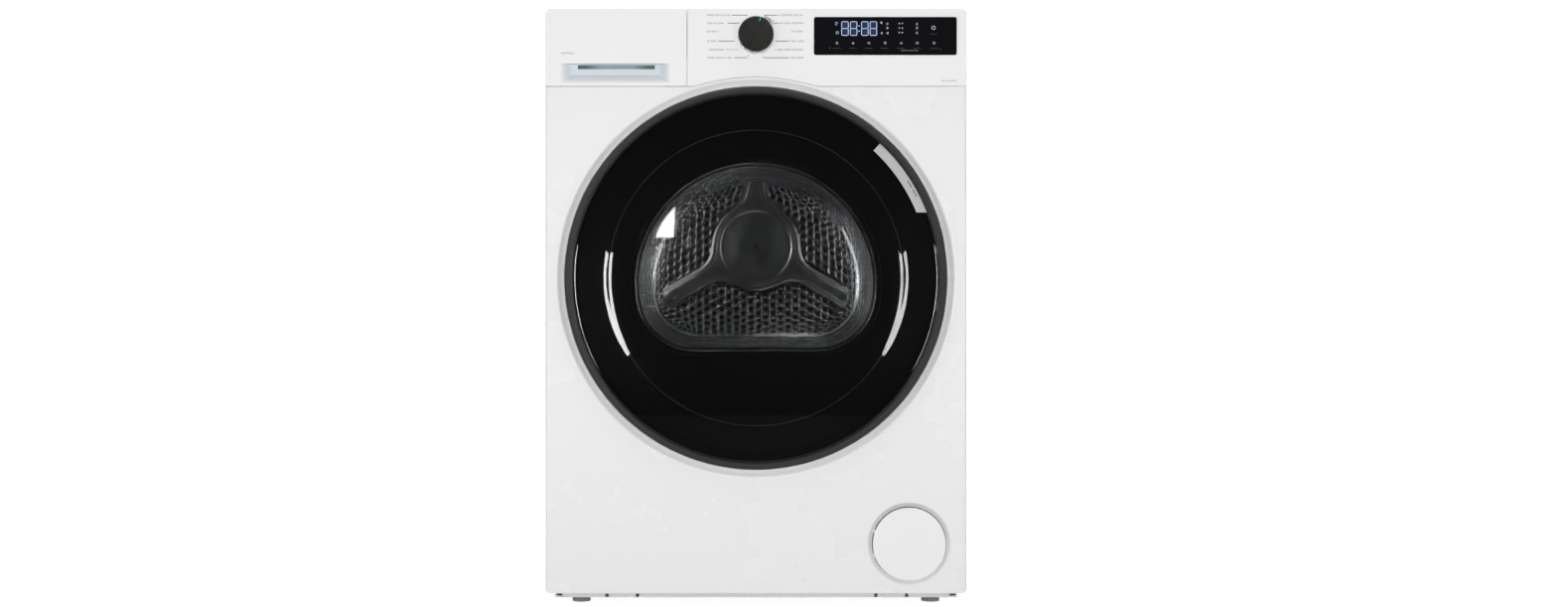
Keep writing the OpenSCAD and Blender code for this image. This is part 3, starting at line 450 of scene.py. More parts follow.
def bowl_ring(R, y, b_off=76.0):
    b = R - b_off
    return d_ring(R, b, b * 0.86, y)
prof_out = [(166.5, -2.2), (179.0, -2.2), (179.6, -1.6), (179.6, 0.8), (179.0, 1.3), (172.5, 1.3), (170.6, 2.6), (170.0, 6.0), (167.8, 24.0), (165.2, 44.0),
            (162.4, 64.0), (159.6, 80.0), (157.4, 88.0), (154.6, 93.5), (150.5, 97.4), (145.0, 99.3), (139.0, 99.9)]
prof_in = [(135.5, 95.9), (142.0, 95.2), (147.0, 93.0), (150.6, 89.5), (153.0, 84.5), (155.2, 78.0), (158.2, 62.0), (161.0, 43.0), (163.6, 24.0), (165.8, 5.0), (166.4, 0.0)]
def cap(base, y, dy, steps, inward):
    """Rings that close the bowl's flat end towards its middle, faintly crowned."""
    out = []
    R, b = base, base - 76.0
    pts = d_pts(R, b, b * 0.86)
    for i in range(1, steps):
        s = 1.0 - i / steps
        out.append([V(x * s, y + dy * (1 - s * s), 459.0 + z * s + (1 - s) * 22.0) for x, z in pts])
    return out if inward else out[::-1]
rings = [bowl_ring(R, y) for R, y in prof_out] + cap(139.0, 99.9, -1.2, 9, True)
rings2 = cap(135.5, 95.9, -1.2, 9, False) + [bowl_ring(R, y) for R, y in prof_in]
n = len(rings[0]); allr = rings + rings2
verts = [p for r in allr for p in r]; faces = []
k_out = len(rings)
for k in range(len(allr)):
    if k == k_out - 1:
        continue
    a, b2 = k * n, ((k + 1) % len(allr)) * n
    for i in range(n):
        j = (i + 1) % n
        faces.append((a + i, a + j, b2 + j, b2 + i))
c0 = len(verts); verts.append(V(0, 98.7, 481.0)); verts.append(V(0, 94.7, 481.0))
for i in range(n):
    j = (i + 1) % n
    faces.append(((k_out - 1) * n + i, (k_out - 1) * n + j, c0)); faces.append((k_out * n + i, k_out * n + j, c0 + 1))
bowl = new_mesh("door_bowl_glass", verts, faces)
m_bowl, nt, b = mat_base("bowl_glass")
nt.links.new(ramp(nt, noise_tex(nt, coords(nt), 6.0, 2.0), (0.90, 0.92, 0.92), (0.95, 0.96, 0.96)), b.inputs["Base Color"])
b.inputs["Roughness"].default_value = 0.0; b.inputs["IOR"].default_value = 1.47; b.inputs["Transmission Weight"].default_value = 1.0
# the moulded side wall is faintly rippled along its outline; the flat end is clear
tcb = node(nt, "ShaderNodeTexCoord"); spb = node(nt, "ShaderNodeSeparateXYZ"); nt.links.new(tcb.outputs["Object"], spb.inputs["Vector"])
mk = node(nt, "ShaderNodeMapRange"); nt.links.new(spb.outputs["Y"], mk.inputs["Value"])
for k_, v_ in (("From Min", V(0, 84, 0)[1]), ("From Max", V(0, 92, 0)[1]), ("To Min", 1.0), ("To Max", 0.0)):
    mk.inputs[k_].default_value = v_
mu = node(nt, "ShaderNodeMath", operation='MULTIPLY'); nt.links.new(noise_tex(nt, coords(nt, (1.0, 5.0, 1.0)), 60, 3.0), mu.inputs[0]); nt.links.new(mk.outputs["Result"], mu.inputs[1])
bump(nt, b, mu.outputs["Value"], 0.5, 0.0040)
fin(sharpen(bowl, 60), "door", m_bowl, "door_bowl")

# plain silver sector on the pane, upper right
verts, faces = [], []
nr, na = 6, 40
for s in (0, 1):
    for i in range(na + 1):
        for k in range(nr + 1):
            r = 244.9 + (258.5 - 244.9) * k / nr
            lo = math.asin(92.6 / r); hi = math.radians(47.3)
            a = lo + (hi - lo) * i / na
            verts.append(V(r * math.cos(a), pane_y(r) - (0.22 if s == 0 else 0.02), 466.7 + r * math.sin(a)))
N = (na + 1) * (nr + 1)
for i in range(na):
    for k in range(nr):
        a = i * (nr + 1) + k
        faces.append((a, a + 1, a + nr + 2, a + nr + 1)); faces.append((N + a, N + a + nr + 1, N + a + nr + 2, N + a + 1))
edge = [i * (nr + 1) for i in range(na + 1)] + [na * (nr + 1) + k for k in range(1, nr + 1)] + [i * (nr + 1) + nr for i in range(na - 1, -1, -1)] + [k for k in range(nr - 1, 0, -1)]
for p, q in zip(edge, edge[1:] + edge[:1]):
    faces.append((p, q, N + q, N + p))
label = new_mesh("door_label", verts, faces)
m_label, nt, b = mat_base("label_silver")
v = coords(nt)
nt.links.new(ramp(nt, noise_tex(nt, v, 30, 3.0), (0.44, 0.445, 0.45), (0.52, 0.525, 0.53)), b.inputs["Base Color"])
b.inputs["Metallic"].default_value = 0.15; b.inputs["Roughness"].default_value = 0.42
bump(nt, b, noise_tex(nt, v, 700, 2.0), 0.05, 0.0002)
fin(sharpen(label, 40), "door", m_label, None)
# a row of plain short dashes along it, a black lip round the pane, and the dome's dotted contour
def polar_plates(name, cells, y_off):
    """Thin plates given as (r0, r1, a0, a1) about the door's middle, lying on the pane."""
    verts, faces = [], []
    for r0, r1, a0, a1 in cells:
        b0 = len(verts)
        for dy in (y_off, 0.0):
            for r, a in ((r0, a0), (r1, a0), (r1, a1), (r0, a1)):
                verts.append(V(r * math.cos(a), pane_y(r) + dy, 466.7 + r * math.sin(a)))
        faces += [(b0, b0 + 1, b0 + 2, b0 + 3), (b0 + 7, b0 + 6, b0 + 5, b0 + 4)]
        for i in range(4):
            j = (i + 1) % 4
            faces.append((b0 + i, b0 + 4 + i, b0 + 4 + j, b0 + j))
    return new_mesh(name, verts, faces, False)
cells, a = [], math.radians(27.0)
for L in (2.2, 1.6, 2.4, 1.8, 0.0, 2.0, 2.4, 1.6, 2.0):
    if L:
        cells.append((253.2, 255.6, a, a + L / 254.4))
    a += (L + 0.9) / 254.4 if L else 2.4 / 254.4
m_tick = enamel("label_grey", (0.13, 0.13, 0.135), 0.5, 0.01, 0.4, 0.0, 0.02, 90)
fin(polar_plates("door_label_dashes", cells, -0.3), "door", m_tick, None)
m_dot = enamel("contour_grey", (0.055, 0.056, 0.06), 0.5, 0.01, 0.3, 0.0, 0.02, 90)
cells = []
for i in range(420):
    a = 2 * math.pi * i / 420
    cells.append((208.0, 208.8, a, a + 0.006))
fin(polar_plates("door_contour_dots", cells, -0.06), "door", m_dot, None)
lip = lathe("door_ring_lip", [(259.0, -19.2), (259.0, -20.4), (259.6, -20.75), (261.4, -20.65), (262.3, -20.25), (262.3, -20.03), (259.9, -20.03), (259.6, -19.2)], 0, 466.7, 192)
fin(sharpen(lip, 40), "door", m_mask, None)

# ---------------------------------------------------------------- drum's rear wall: perforated plate, pressed spider, rim
def seg_d(px, pz, ax, az, bx, bz):
    dx, dz = bx - ax, bz - az
    t = max(0.0, min(1.0, ((px - ax) * dx + (pz - az) * dz) / (dx * dx + dz * dz)))
    return math.hypot(px - ax - dx * t, pz - az - dz * t), t
def spider_d(x, z):
    """Signed distance to the outline of the hub and its three arms (negative inside), about the drum's axis."""
    d = math.hypot(x, z) - 72.4
    for a, L in ((90, 244.0), (209.6, 176.0), (330.4, 184.0)):
        c, s = math.cos(math.radians(a)), math.sin(math.radians(a))
        dd, t = seg_d(x, z, 0, 0, L * c, L * s)
        rr = t * L
        dd -= 14.8 if a == 90 else 13.4 + 1.6 * smoothstep(150, 172, rr)
        # smooth union
        k = 30.0; h = max(0.0, min(1.0, 0.5 + 0.5 * (dd - d) / k))
        d = dd * (1 - h) + d * h - k * h * (1 - h)
    return d
def arm_ridge(x, z):
    """The two lower arms are rounded along their length and end in round lobes."""
    h = 0.0
    for a, L in ((209.6, 176.0), (330.4, 184.0)):
        c, s = math.cos(math.radians(a)), math.sin(math.radians(a))
        dd, t = seg_d(x, z, 0, 0, L * c, L * s)
        along = smoothstep(70.0, 118.0, t * L)
        h = max(h, 1.7 * along * math.sqrt(max(0.0, 1.0 - (dd / 10.6) ** 2)) + 3.6 * smoothstep(L - 20.0, L - 6.0, t * L) * math.sqrt(max(0.0, 1.0 - (dd / 9.5) ** 2)))
    return h
YP = 478.0
pitch = 14.4
verts, faces = [], []
SEG = 18
row = 0
z = -270.0
cells = []
while z <= 270.0:
    x = -285.0 + (pitch / 2 if row % 2 else 0)
    while x <= 285.0:
        cells.append((z, x)); x += pitch
    z += pitch * math.sqrt(3) / 2; row += 1
hexr = pitch / math.sqrt(3)
def hex_edge(a):
    """Distance from a cell's middle to its outline in direction a."""
    s = math.pi / 3
    return (pitch / 2) / math.cos(((a - math.pi / 6 + s / 2) % s) - s / 2)
RIM = [(6.5, 0.02), (5.85, 0.28), (5.35, 0.85), (5.05, 1.7), (4.9, 3.4)]
for x, z in cells:
    rc = math.hypot(x, z)
    if rc > 268.0:
        continue
    d = spider_d(x, z)
    if d < -hexr - 1.0:
        continue
    holed = d > 6.5 and rc < 262.0
    base = len(verts)
    angs = [2 * math.pi * i / SEG for i in range(SEG)]
    for a in angs:
        e = hex_edge(a)
        verts.append(V(x + e * math.cos(a), YP, DRUM_Z * 1000 + z + e * math.sin(a)))
    if holed:
        for r, h in RIM:
            for a in angs:
                verts.append(V(x + r * math.cos(a), YP + h, DRUM_Z * 1000 + z + r * math.sin(a)))
        for k in range(len(RIM)):
            for i in range(SEG):
                j = (i + 1) % SEG
                faces.append((base + k * SEG + i, base + k * SEG + j, base + (k + 1) * SEG + j, base + (k + 1) * SEG + i))
    else:
        faces.append(tuple(base + i for i in range(SEG)))
plate = new_mesh("drum_rear_plate", verts, faces)
m_drum, nt, b = mat_base("drum_steel")
v = coords(nt)
nn = noise_tex(nt, v, 25, 4.0)
nt.links.new(ramp(nt, nn, (0.30, 0.305, 0.31), (0.38, 0.385, 0.39), 0.3, 0.7), b.inputs["Base Color"])
nt.links.new(ramp(nt, noise_tex(nt, v, 60, 3.0), (0.17,) * 3, (0.24,) * 3), b.inputs["Roughness"])
b.inputs["Metallic"].default_value = 1.0
bump(nt, b, noise_tex(nt, v, 500, 2.0), 0.03, 0.0004)
fin(plate, "drum", m_drum, "drum_back")

# spider as a height field over its own outline
G = 1.0
idx, verts, faces = {}, [], []
def sp_h(d, rc, x, z):
    """Height towards the door over the plate: an outer step, a land, an inner step, then the raised field with the hub's dished disc."""
    h = 3.0 * smoothstep(0.5, -0.7, d) + 0.5 * smoothstep(-5.6, -7.2, d)
    h -= 0.3 * math.exp(-((d + 4.8) / 0.8) ** 2)
    h += arm_ridge(x, z)
    if rc < 66:
        h -= 1.8 * smoothstep(62.0, 57.6, rc)
        h += 0.7 * math.exp(-((rc - 62.4) / 1.3) ** 2)
        h += 5.6 * smoothstep(57.0, 25.0, rc)
    return h
R_ = 240
ng = int(2 * R_ / G) + 1
for iz in range(ng):
    for ix in range(ng):
        x, z = -R_ + ix * G, -R_ + iz * G
        rc = math.hypot(x, z)
        if rc > 236: continue
        d = spider_d(x, z)
        if d > 3.2: continue
        idx[(ix, iz)] = len(verts)
        h = sp_h(d, rc, x, z) if d < 1.6 else -0.8
        verts.append(V(x, YP - h, DRUM_Z * 1000 + z))
for (ix, iz) in list(idx):
    q = [(ix, iz), (ix + 1, iz), (ix + 1, iz + 1), (ix, iz + 1)]
    if all(c in idx for c in q):
        faces.append(tuple(idx[c] for c in q))
spider = new_mesh("drum_spider", verts, faces)
so = spider.modifiers.new("thickness", 'SOLIDIFY'); so.thickness = 0.0006; so.offset = -1.0
m_spider, nt, b = mat_base("spider_steel")
v = coords(nt)
nt.links.new(ramp(nt, noise_tex(nt, v, 30, 3.0), (0.15, 0.153, 0.153), (0.19, 0.193, 0.193), 0.3, 0.7), b.inputs["Base Color"])
nt.links.new(ramp(nt, noise_tex(nt, v, 70, 3.0), (0.30,) * 3, (0.37,) * 3), b.inputs["Roughness"])
b.inputs["Metallic"].default_value = 0.9
bump(nt, b, noise_tex(nt, v, 500, 2.0), 0.03, 0.0004)
fin(spider, "drum", m_spider, None)
# painted shade: a black sheet behind the perforated plate, so that its holes read dark
rear_shade_sheet = lathe("drum_rear_painted_shade", [(64, 482.0), (262, 482.0), (262, 482.5), (64, 482.5)], 0, 527, 96)
fin(sharpen(rear_shade_sheet, 40), "drum", rubber("rear_shade_black", (0.012, 0.012, 0.012), 0.8), None)
hub_screw = lathe("drum_hub_screw", [(0.0, 468.9), (2.6, 469.0), (3.9, 469.5), (4.4, 470.4), (4.4, 471.9), (0.0, 471.9)], 0, 527, 32)
fin(sharpen(hub_screw, 40), "drum", enamel("screw_black", (0.015, 0.015, 0.016), 0.35, 0.004, 0.4, 0.0, 0.02, 90), None)
rim = lathe("drum_rear_rim", [(252, 478.4), (255, 477.2), (262, 476.6), (274, 476.2), (279, 474.4), (283.0, 471.6), (283.9, 472.5), (283.9, 488.8), (283.2, 488.8),
                              (283.0, 474.5), (279.5, 476.6), (274, 477.6), (262, 478.0), (255, 478.6), (252, 479.4)], 0, 527, 160)
fin(sharpen(rim, 50), "drum", m_drum, None)

# ---------------------------------------------------------------- drum and lamp light (scene only)
def inner_area(name, at, to, sx, sy, power, glossy=True):
    return area(name, V(*at), V(*to), sx, sy, power, (1, 1, 1), glossy)
inner_area("drum_left", (-252, 372, 588), (60, 478, 500), 0.06, 0.26, 3.4)
inner_area("drum_right", (262, 372, 500), (-60, 478, 500), 0.05, 0.26, 1.9)
inner_area("drum_low", (90, 372, 268), (20, 478, 500), 0.26, 0.05, 0.8)
inner_area("drum_soft", (0, 60, 775), (0, 478, 470), 0.34, 0.05, 0.14)
inner_area("band_left", (-246, 420, 490), (-150, 40, 470), 0.04, 0.30, 0.010)
inner_area("band_right", (246, 420, 490), (150, 40, 470), 0.04, 0.30, 0.010)
inner_area("band_low", (0, 420, 292), (0, 40, 370), 0.34, 0.03, 0.005)
inner_area("edge_left", (-188, 30, 460), (-168, -2, 460), 0.012, 0.15, 0.09)
inner_area("edge_right", (188, 30, 460), (168, -2, 460), 0.012, 0.15, 0.09)

# ---------------------------------------------------------------- programme knob: scalloped black cap, pale ring behind it
KX, KZ, NK = 0.0, 811.5, 288
def knob_r(y, i):
    """The cap's side: 36 narrow flutes between broad flats, tapering to the front."""
    t = max(0.0, min(1.0, (-8.02 - y) / 15.98))
    base = 25.5 - 0.5 * t
    ph = (i % 8) / 8.0
    return base - 1.7 * max(0.0, 1.0 - abs(ph - 0.5) / 0.28)
KP = [("r", 0.0, -22.9), ("r", 6.0, -22.95), ("r", 14.0, -23.15), ("r", 20.6, -23.5), ("r", 22.9, -23.85), ("r", 23.5, -24.0), ("r", 24.1, -23.7),
      ("k", 0, -22.9), ("k", 0, -21.6), ("k", 0, -20.0), ("k", 0, -18.0), ("k", 0, -16.0), ("k", 0, -14.6), ("r", 23.4, -14.4), ("r", 23.2, -13.0), ("r", 22.6, -12.6),
      ("r", 3.0, -12.6), ("r", 3.0, 9.2), ("r", 2.6, 9.55), ("r", 0.0, 9.55)]
verts, faces, ring = [], [], []
for kind, r, y in KP:
    if kind == "r" and r == 0.0:
        ring.append([len(verts)]); verts.append(V(KX, y, KZ)); continue
    ring.append(list(range(len(verts), len(verts) + NK)))
    for i in range(NK):
        a = 2 * math.pi * i / NK
        rr = r if kind == "r" else knob_r(y, i)
        verts.append(V(KX + rr * math.cos(a), y, KZ + rr * math.sin(a)))
for k in range(len(KP) - 1):
    a, b2 = ring[k], ring[k + 1]
    for i in range(NK):
        j = (i + 1) % NK
        if len(a) == 1: faces.append((a[0], b2[i], b2[j]))
        elif len(b2) == 1: faces.append((a[i], a[j], b2[0]))
        else: faces.append((a[i], a[j], b2[j], b2[i]))
knob = new_mesh("knob_cap", verts, faces)
m_knob, nt, b = mat_base("knob_turned_black")
# a turned face: faint rays about the knob's own axis and fine rings
tc = node(nt, "ShaderNodeTexCoord"); mp = node(nt, "ShaderNodeMapping")
mp.inputs["Location"].default_value = (-V(KX, 0, KZ)[0], 0, -V(KX, 0, KZ)[2])
nt.links.new(tc.outputs["Object"], mp.inputs["Vector"])
sp = node(nt, "ShaderNodeSeparateXYZ"); nt.links.new(mp.outputs["Vector"], sp.inputs["Vector"])
at = node(nt, "ShaderNodeMath", operation='ARCTAN2'); nt.links.new(sp.outputs["Z"], at.inputs[0]); nt.links.new(sp.outputs["X"], at.inputs[1])
cb = node(nt, "ShaderNodeCombineXYZ"); nt.links.new(at.outputs["Value"], cb.inputs["X"])
rays = noise_tex(nt, cb.outputs["Vector"], 2.6, 3.0, 0.6)
cb2 = node(nt, "ShaderNodeCombineXYZ"); nt.links.new(sp.outputs["X"], cb2.inputs["X"]); nt.links.new(sp.outputs["Z"], cb2.inputs["Z"])
rad = node(nt, "ShaderNodeVectorMath", operation='LENGTH'); nt.links.new(cb2.outputs["Vector"], rad.inputs[0])
sc2 = node(nt, "ShaderNodeMath", operation='MULTIPLY'); sc2.inputs[1].default_value = 900.0; nt.links.new(rad.outputs["Value"], sc2.inputs[0])
cb3 = node(nt, "ShaderNodeCombineXYZ"); nt.links.new(sc2.outputs["Value"], cb3.inputs["X"])
grain = noise_tex(nt, cb3.outputs["Vector"], 3.0, 2.0)
nt.links.new(ramp(nt, rays, (0.010, 0.010, 0.0085), (0.028, 0.028, 0.027), 0.35, 0.72), b.inputs["Base Color"])
nt.links.new(ramp(nt, grain, (0.40,) * 3, (0.52,) * 3), b.inputs["Roughness"])
b.inputs["Specular IOR Level"].default_value = 0.35
bump(nt, b, grain, 0.08, 0.0003)
fin(sharpen(knob, 24), "knob", m_knob, "programme_knob")
m_skirt = brushed("skirt_satin", (0.80, 0.81, 0.82), 0.22, (1, 1, 1), 60, 0.04, 0.02, 0.35)
skirt = lathe("knob_skirt", [(3.2, -2.0), (25.2, -2.0), (25.8, -2.2), (26.0, -2.8), (25.9, -8.0), (25.7, -12.6), (25.4, -13.5), (24.8, -13.9), (23.6, -13.9), (23.6, -12.2), (3.2, -12.2)], KX, KZ, 144)
fin(sharpen(skirt, 40), "knob", m_skirt, None)

def prism(name, polys, y0, y1):
    """Flat raised marks: each polygon [(x, z)...] in mm is a thin plate from y0 (front) to y1."""
    verts, faces = [], []
    for poly in polys:
        n = len(poly); b0 = len(verts)
        for y in (y0, y1):
            for x, z in poly:
                verts.append(V(x, y, z))
        faces.append(tuple(range(b0, b0 + n))); faces.append(tuple(range(b0 + 2 * n - 1, b0 + n - 1, -1)))
        for i in range(n):
            j = (i + 1) % n
            faces.append((b0 + i, b0 + n + i, b0 + n + j, b0 + j))
    return new_mesh(name, verts, faces, False)
def rect(x0, x1, z0, z1):
    return [(x0, z0), (x1, z0), (x1, z1), (x0, z1)]
def disc(cx, cz, r, n=20):
    return [(cx + r * math.cos(2 * math.pi * i / n), cz + r * math.sin(2 * math.pi * i / n)) for i in range(n)]
def bar(x0, z0, x1, z1, w):
    dx, dz = x1 - x0, z1 - z0; L = math.hypot(dx, dz); nx, nz = -dz / L * w / 2, dx / L * w / 2
    return [(x0 + nx, z0 + nz), (x1 + nx, z1 + nz), (x1 - nx, z1 - nz), (x0 - nx, z0 - nz)]
def arc(cx, cz, r, a0, a1, w, n=10):
    """A curved stroke as short bars."""
    out = []
    for i in range(n):
        p, q = a0 + (a1 - a0) * i / n, a0 + (a1 - a0) * (i + 1) / n
        out.append([(cx + (r + s * w / 2) * math.cos(a), cz + (r + s * w / 2) * math.sin(a)) for s, a in ((1, p), (1, q), (-1, q), (-1, p))])
    return out
teal, nt, b = mat_base("indicator_teal")
cc = ramp(nt, noise_tex(nt, coords(nt), 200, 2.0), (0.02, 0.33, 0.36), (0.03, 0.42, 0.44))
nt.links.new(cc, b.inputs["Base Color"]); nt.links.new(cc, b.inputs["Emission Color"])
b.inputs["Emission Strength"].default_value = 0.35; b.inputs["Roughness"].default_value = 0.35
u = (math.sin(math.radians(15.7)), math.cos(math.radians(15.7)))
ind = prism("knob_indicator", [bar(KX + 18.6 * u[0], KZ + 18.6 * u[1], KX + 23.2 * u[0], KZ + 23.2 * u[1], 1.15)], -24.02, -23.2)
fin(ind, "knob", teal, None)

# ---------------------------------------------------------------- fascia marks (no lettering: plain dashes, leaders and dots)
def px_x(px): return (px - 761.2) * 1.416
def px_z(py): return 850.0 - (py - 9.0) * 1.416
def pg(zx, zy): return px_x(zx / 12.06 + 700), px_z(zy / 12.06 + 5)
def row_z(py): return px_z(py)
rows = [(15.4, (712.0, 735.7), (737.3, 752.7), (769.9, 783.0), (784.6, 809.0)), (23.5, (712.4, 729.4), (732.8, 744.5), (779.6, 782.8), (784.2, 809.0)),
        (31.7, (712.0, 724.0), None, None, (797.4, 808.2)), (41.5, (712.4, 722.0), (723.3, 739.9), (780.7, 793.7), (795.0, 809.0)),
        (50.0, (714.5, 729.0), (730.7, 744.0), (779.0, 782.0), (783.0, 809.0)), (58.2, (712.8, 737.7), (739.6, 752.1), (769.2, 794.5), (795.8, 808.6))]
seed = 7
def rnd():
    global seed
    seed = (seed * 16807) % 2147483647
    return seed / 2147483647.0
def words(p0, p1, py, out, h0=1.0, lo=0.7, hi=1.5):
    """A row of short upright and level strokes of no meaning, standing in for small print."""
    x0, x1, z0 = px_x(p0), px_x(p1), px_z(py)
    x = x0
    while x < x1 - 0.5:
        h = h0 * (1.0 + 0.35 * rnd()); k = rnd()
        out.append(rect(x, x + 0.42, z0 - h, z0 + h))
        if k < 0.35: out.append(rect(x + 0.42, x + 1.1, z0 - h, z0 - h + 0.38))
        elif k < 0.7: out.append(rect(x + 0.42, x + 1.1, z0 + h - 0.38, z0 + h))
        else: out.append(rect(x + 0.42, x + 1.0, z0 - 0.19, z0 + 0.19))
        x += 1.62 if rnd() < 0.8 else 2.9
dashes, leaders = [], []
for py, lt, ll, rl, rt in rows:
    words(lt[0], lt[1], py, dashes); words(rt[0], rt[1], py, dashes)
    for seg_ in (ll, rl):
        if seg_:
            z0 = px_z(py); wdt = 0.46 if py != 50.0 else 0.2
            leaders.append(rect(px_x(seg_[0]), px_x(seg_[1]), z0 - wdt, z0 + wdt))
for px, py in ((753.4, 56.4), (768.5, 57.6)):
    dashes.append(disc(px_x(px), px_z(py), 0.75, 16))
# the hatched band that joins the first two leaders on the right
hx0, hz0, hx1, hz1 = px_x(769.3), px_z(16.2), px_x(778.9), px_z(23.3)
for k in range(9):
    t = k / 8.0
    cx0, cz0 = hx0 + (hx1 - hx0) * t, hz0 + (hz1 - hz0) * t
    dashes.append(bar(cx0 - 0.3, cz0 - 1.7, cx0 + 1.0, cz0 + 1.8, 0.9))
dashes.append(bar(hx0 + 0.2, hz0 + 1.6, hx1 + 0.6, hz1 + 1.5, 0.6)); dashes.append(bar(hx0 - 0.4, hz0 - 1.6, hx1 - 0.6, hz1 - 1.6, 0.6))
words(565.6, 578.6, 53.6, dashes, 0.85); words(948.0, 963.0, 81.4, dashes, 0.7)
m_print = enamel("print_grey", (0.03, 0.031, 0.033), 0.5, 0.02, 0.4, 0.0, 0.02, 90)
m_lead = enamel("print_line", (0.03, 0.031, 0.033), 0.5, 0.02, 0.4, 0.0, 0.02, 90)
def front_y(x, z):
    return -2.0
def dish_y(x, z):
    """The fascia's surface under a mark: flat, or down in the shallow dish about the knob."""
    r = math.hypot(x - KX, z - KZ)
    return -2.0 if r > 31.4 else (-1.2 if r < 28.0 else -1.2 - 0.8 * (r - 28.0) / 3.5)
def short(polys, step=0.9):
    """Long bars cut in short lengths, so that they follow the dish."""
    out = []
    for poly in polys:
        x0, x1 = min(x for x, z in poly), max(x for x, z in poly); z0, z1 = min(z for x, z in poly), max(z for x, z in poly)
        n = max(1, int(math.ceil((x1 - x0) / step)))
        for i in range(n):
            out.append(rect(x0 + (x1 - x0) * i / n, x0 + (x1 - x0) * (i + 1) / n, z0, z1))
    return out
def on_fascia(name, polys, material):
    verts, faces = [], []
    for poly in polys:
        n = len(poly); b0 = len(verts)
        for dy in (-0.06, 0.1):
            for x, z in poly:
                verts.append(V(x, dish_y(x, z) + dy, z))
        faces.append(tuple(range(b0, b0 + n))); faces.append(tuple(range(b0 + 2 * n - 1, b0 + n - 1, -1)))
        for i in range(n):
            j = (i + 1) % n
            faces.append((b0 + i, b0 + n + i, b0 + n + j, b0 + j))
    return fin(new_mesh(name, verts, faces, False), "cabinet", material, None)
on_fascia("fascia_dashes", dashes, m_print)
on_fascia("fascia_leaders", short(leaders), m_lead)

# ---------------------------------------------------------------- finger slot's painted shade, a slate sheet darker towards its ends, and the plinth's shadow gaps
def tray(name, x0, x1, z0, z1, y0, y1, t):
    """A thin open box, its mouth to the front: four walls and a back."""
    o = [(x0, z0), (x1, z0), (x1, z1), (x0, z1)]
    n_ = [(x0 + t, z0 + t), (x1 - t, z0 + t), (x1 - t, z1 - t), (x0 + t, z1 - t)]
    verts = [V(x, y, z) for y, ring_ in ((y0, o), (y1, o), (y0, n_), (y1 - t, n_)) for x, z in ring_]
    faces = [(4, 5, 6, 7), (15, 14, 13, 12)]
    for i in range(4):
        j = (i + 1) % 4
        faces += [(i, j, 4 + j, 4 + i), (j, i, 8 + i, 8 + j), (8 + j, 8 + i, 12 + i, 12 + j)]
    return new_mesh(name, verts, faces, False)
# painted shade: a slate-grey sheet inside the finger slot, darker towards the slot's two ends
m_slot_shade_paint, nt, b = mat_base("slate_painted_slot_shade")
tcs = node(nt, "ShaderNodeTexCoord"); sps = node(nt, "ShaderNodeSeparateXYZ"); nt.links.new(tcs.outputs["Object"], sps.inputs["Vector"])
mx = node(nt, "ShaderNodeMath", operation='ADD'); mx.inputs[1].default_value = 0.1995; nt.links.new(sps.outputs["X"], mx.inputs[0])
ma = node(nt, "ShaderNodeMath", operation='ABSOLUTE'); nt.links.new(mx.outputs["Value"], ma.inputs[0])
mr = node(nt, "ShaderNodeMapRange"); nt.links.new(ma.outputs["Value"], mr.inputs["Value"])
mr.inputs["From Min"].default_value = 0.024; mr.inputs["From Max"].default_value = 0.046
nz = node(nt, "ShaderNodeMath", operation='MULTIPLY_ADD'); nt.links.new(noise_tex(nt, coords(nt), 40, 2.0), nz.inputs[0]); nz.inputs[1].default_value = 0.2
nt.links.new(mr.outputs["Result"], nz.inputs[2])
nt.links.new(ramp(nt, nz.outputs["Value"], (0.30, 0.39, 0.46), (0.10, 0.15, 0.155)), b.inputs["Base Color"])
b.inputs["Roughness"].default_value = 0.5; b.inputs["Specular IOR Level"].default_value = 0.3
fin(tray("tank_slot_painted_shade", -254.45, -144.55, 765.25, 770.95, 7.55, 11.45, 0.3), "tank", m_slot_shade_paint, None)
m_gap = enamel("plinth_shadow", (0.025, 0.026, 0.028), 0.6, 0.006, 0.2, 0.0, 0.02, 90)
gaps = []
for sgn in (-1, 1):
    gaps += [[(sgn * 284.6, 15.2), (sgn * 276.2, 14.6), (sgn * 276.2, 17.3), (sgn * 283.4, 17.5)]]
fin(prism("plinth_corner_marks", gaps, 0.35, 0.9), "cabinet", m_gap, None)

# ---------------------------------------------------------------- display: figures, icons and touch marks
def dg(zx, zy): return px_x(zx / 9.8 + 815), px_z(zy / 9.8 + 10)
def seg_bar(x0, z0, x1, z1, w):
    """One display segment with pointed ends."""
    dx, dz = x1 - x0, z1 - z0; L = math.hypot(dx, dz); ux, uz = dx / L, dz / L; nx, nz = -uz * w / 2, ux * w / 2
    k = w / 2
    return [(x0, z0), (x0 + ux * k + nx, z0 + uz * k + nz), (x1 - ux * k + nx, z1 - uz * k + nz), (x1, z1),
            (x1 - ux * k - nx, z1 - uz * k - nz), (x0 + ux * k - nx, z0 + uz * k - nz)]
segs = []
def digit8(zx0, zx1, zy0, zy1, w=0.78, g=0.34):
    xl, zt = dg(zx0, zy0); xr, zb = dg(zx1, zy1)
    xl += w / 2; xr -= w / 2; zt -= w / 2; zb += w / 2; zm = (zt + zb) / 2
    for a, b_ in (((xl, zt), (xr, zt)), ((xl, zm), (xr, zm)), ((xl, zb), (xr, zb)), ((xl, zt), (xl, zm)), ((xl, zm), (xl, zb)), ((xr, zt), (xr, zm)), ((xr, zm), (xr, zb))):
        dx, dz = b_[0] - a[0], b_[1] - a[1]; L = math.hypot(dx, dz); ux, uz = dx / L * g, dz / L * g
        segs.append(seg_bar(a[0] + ux, a[1] + uz, b_[0] - ux, b_[1] - uz, w))
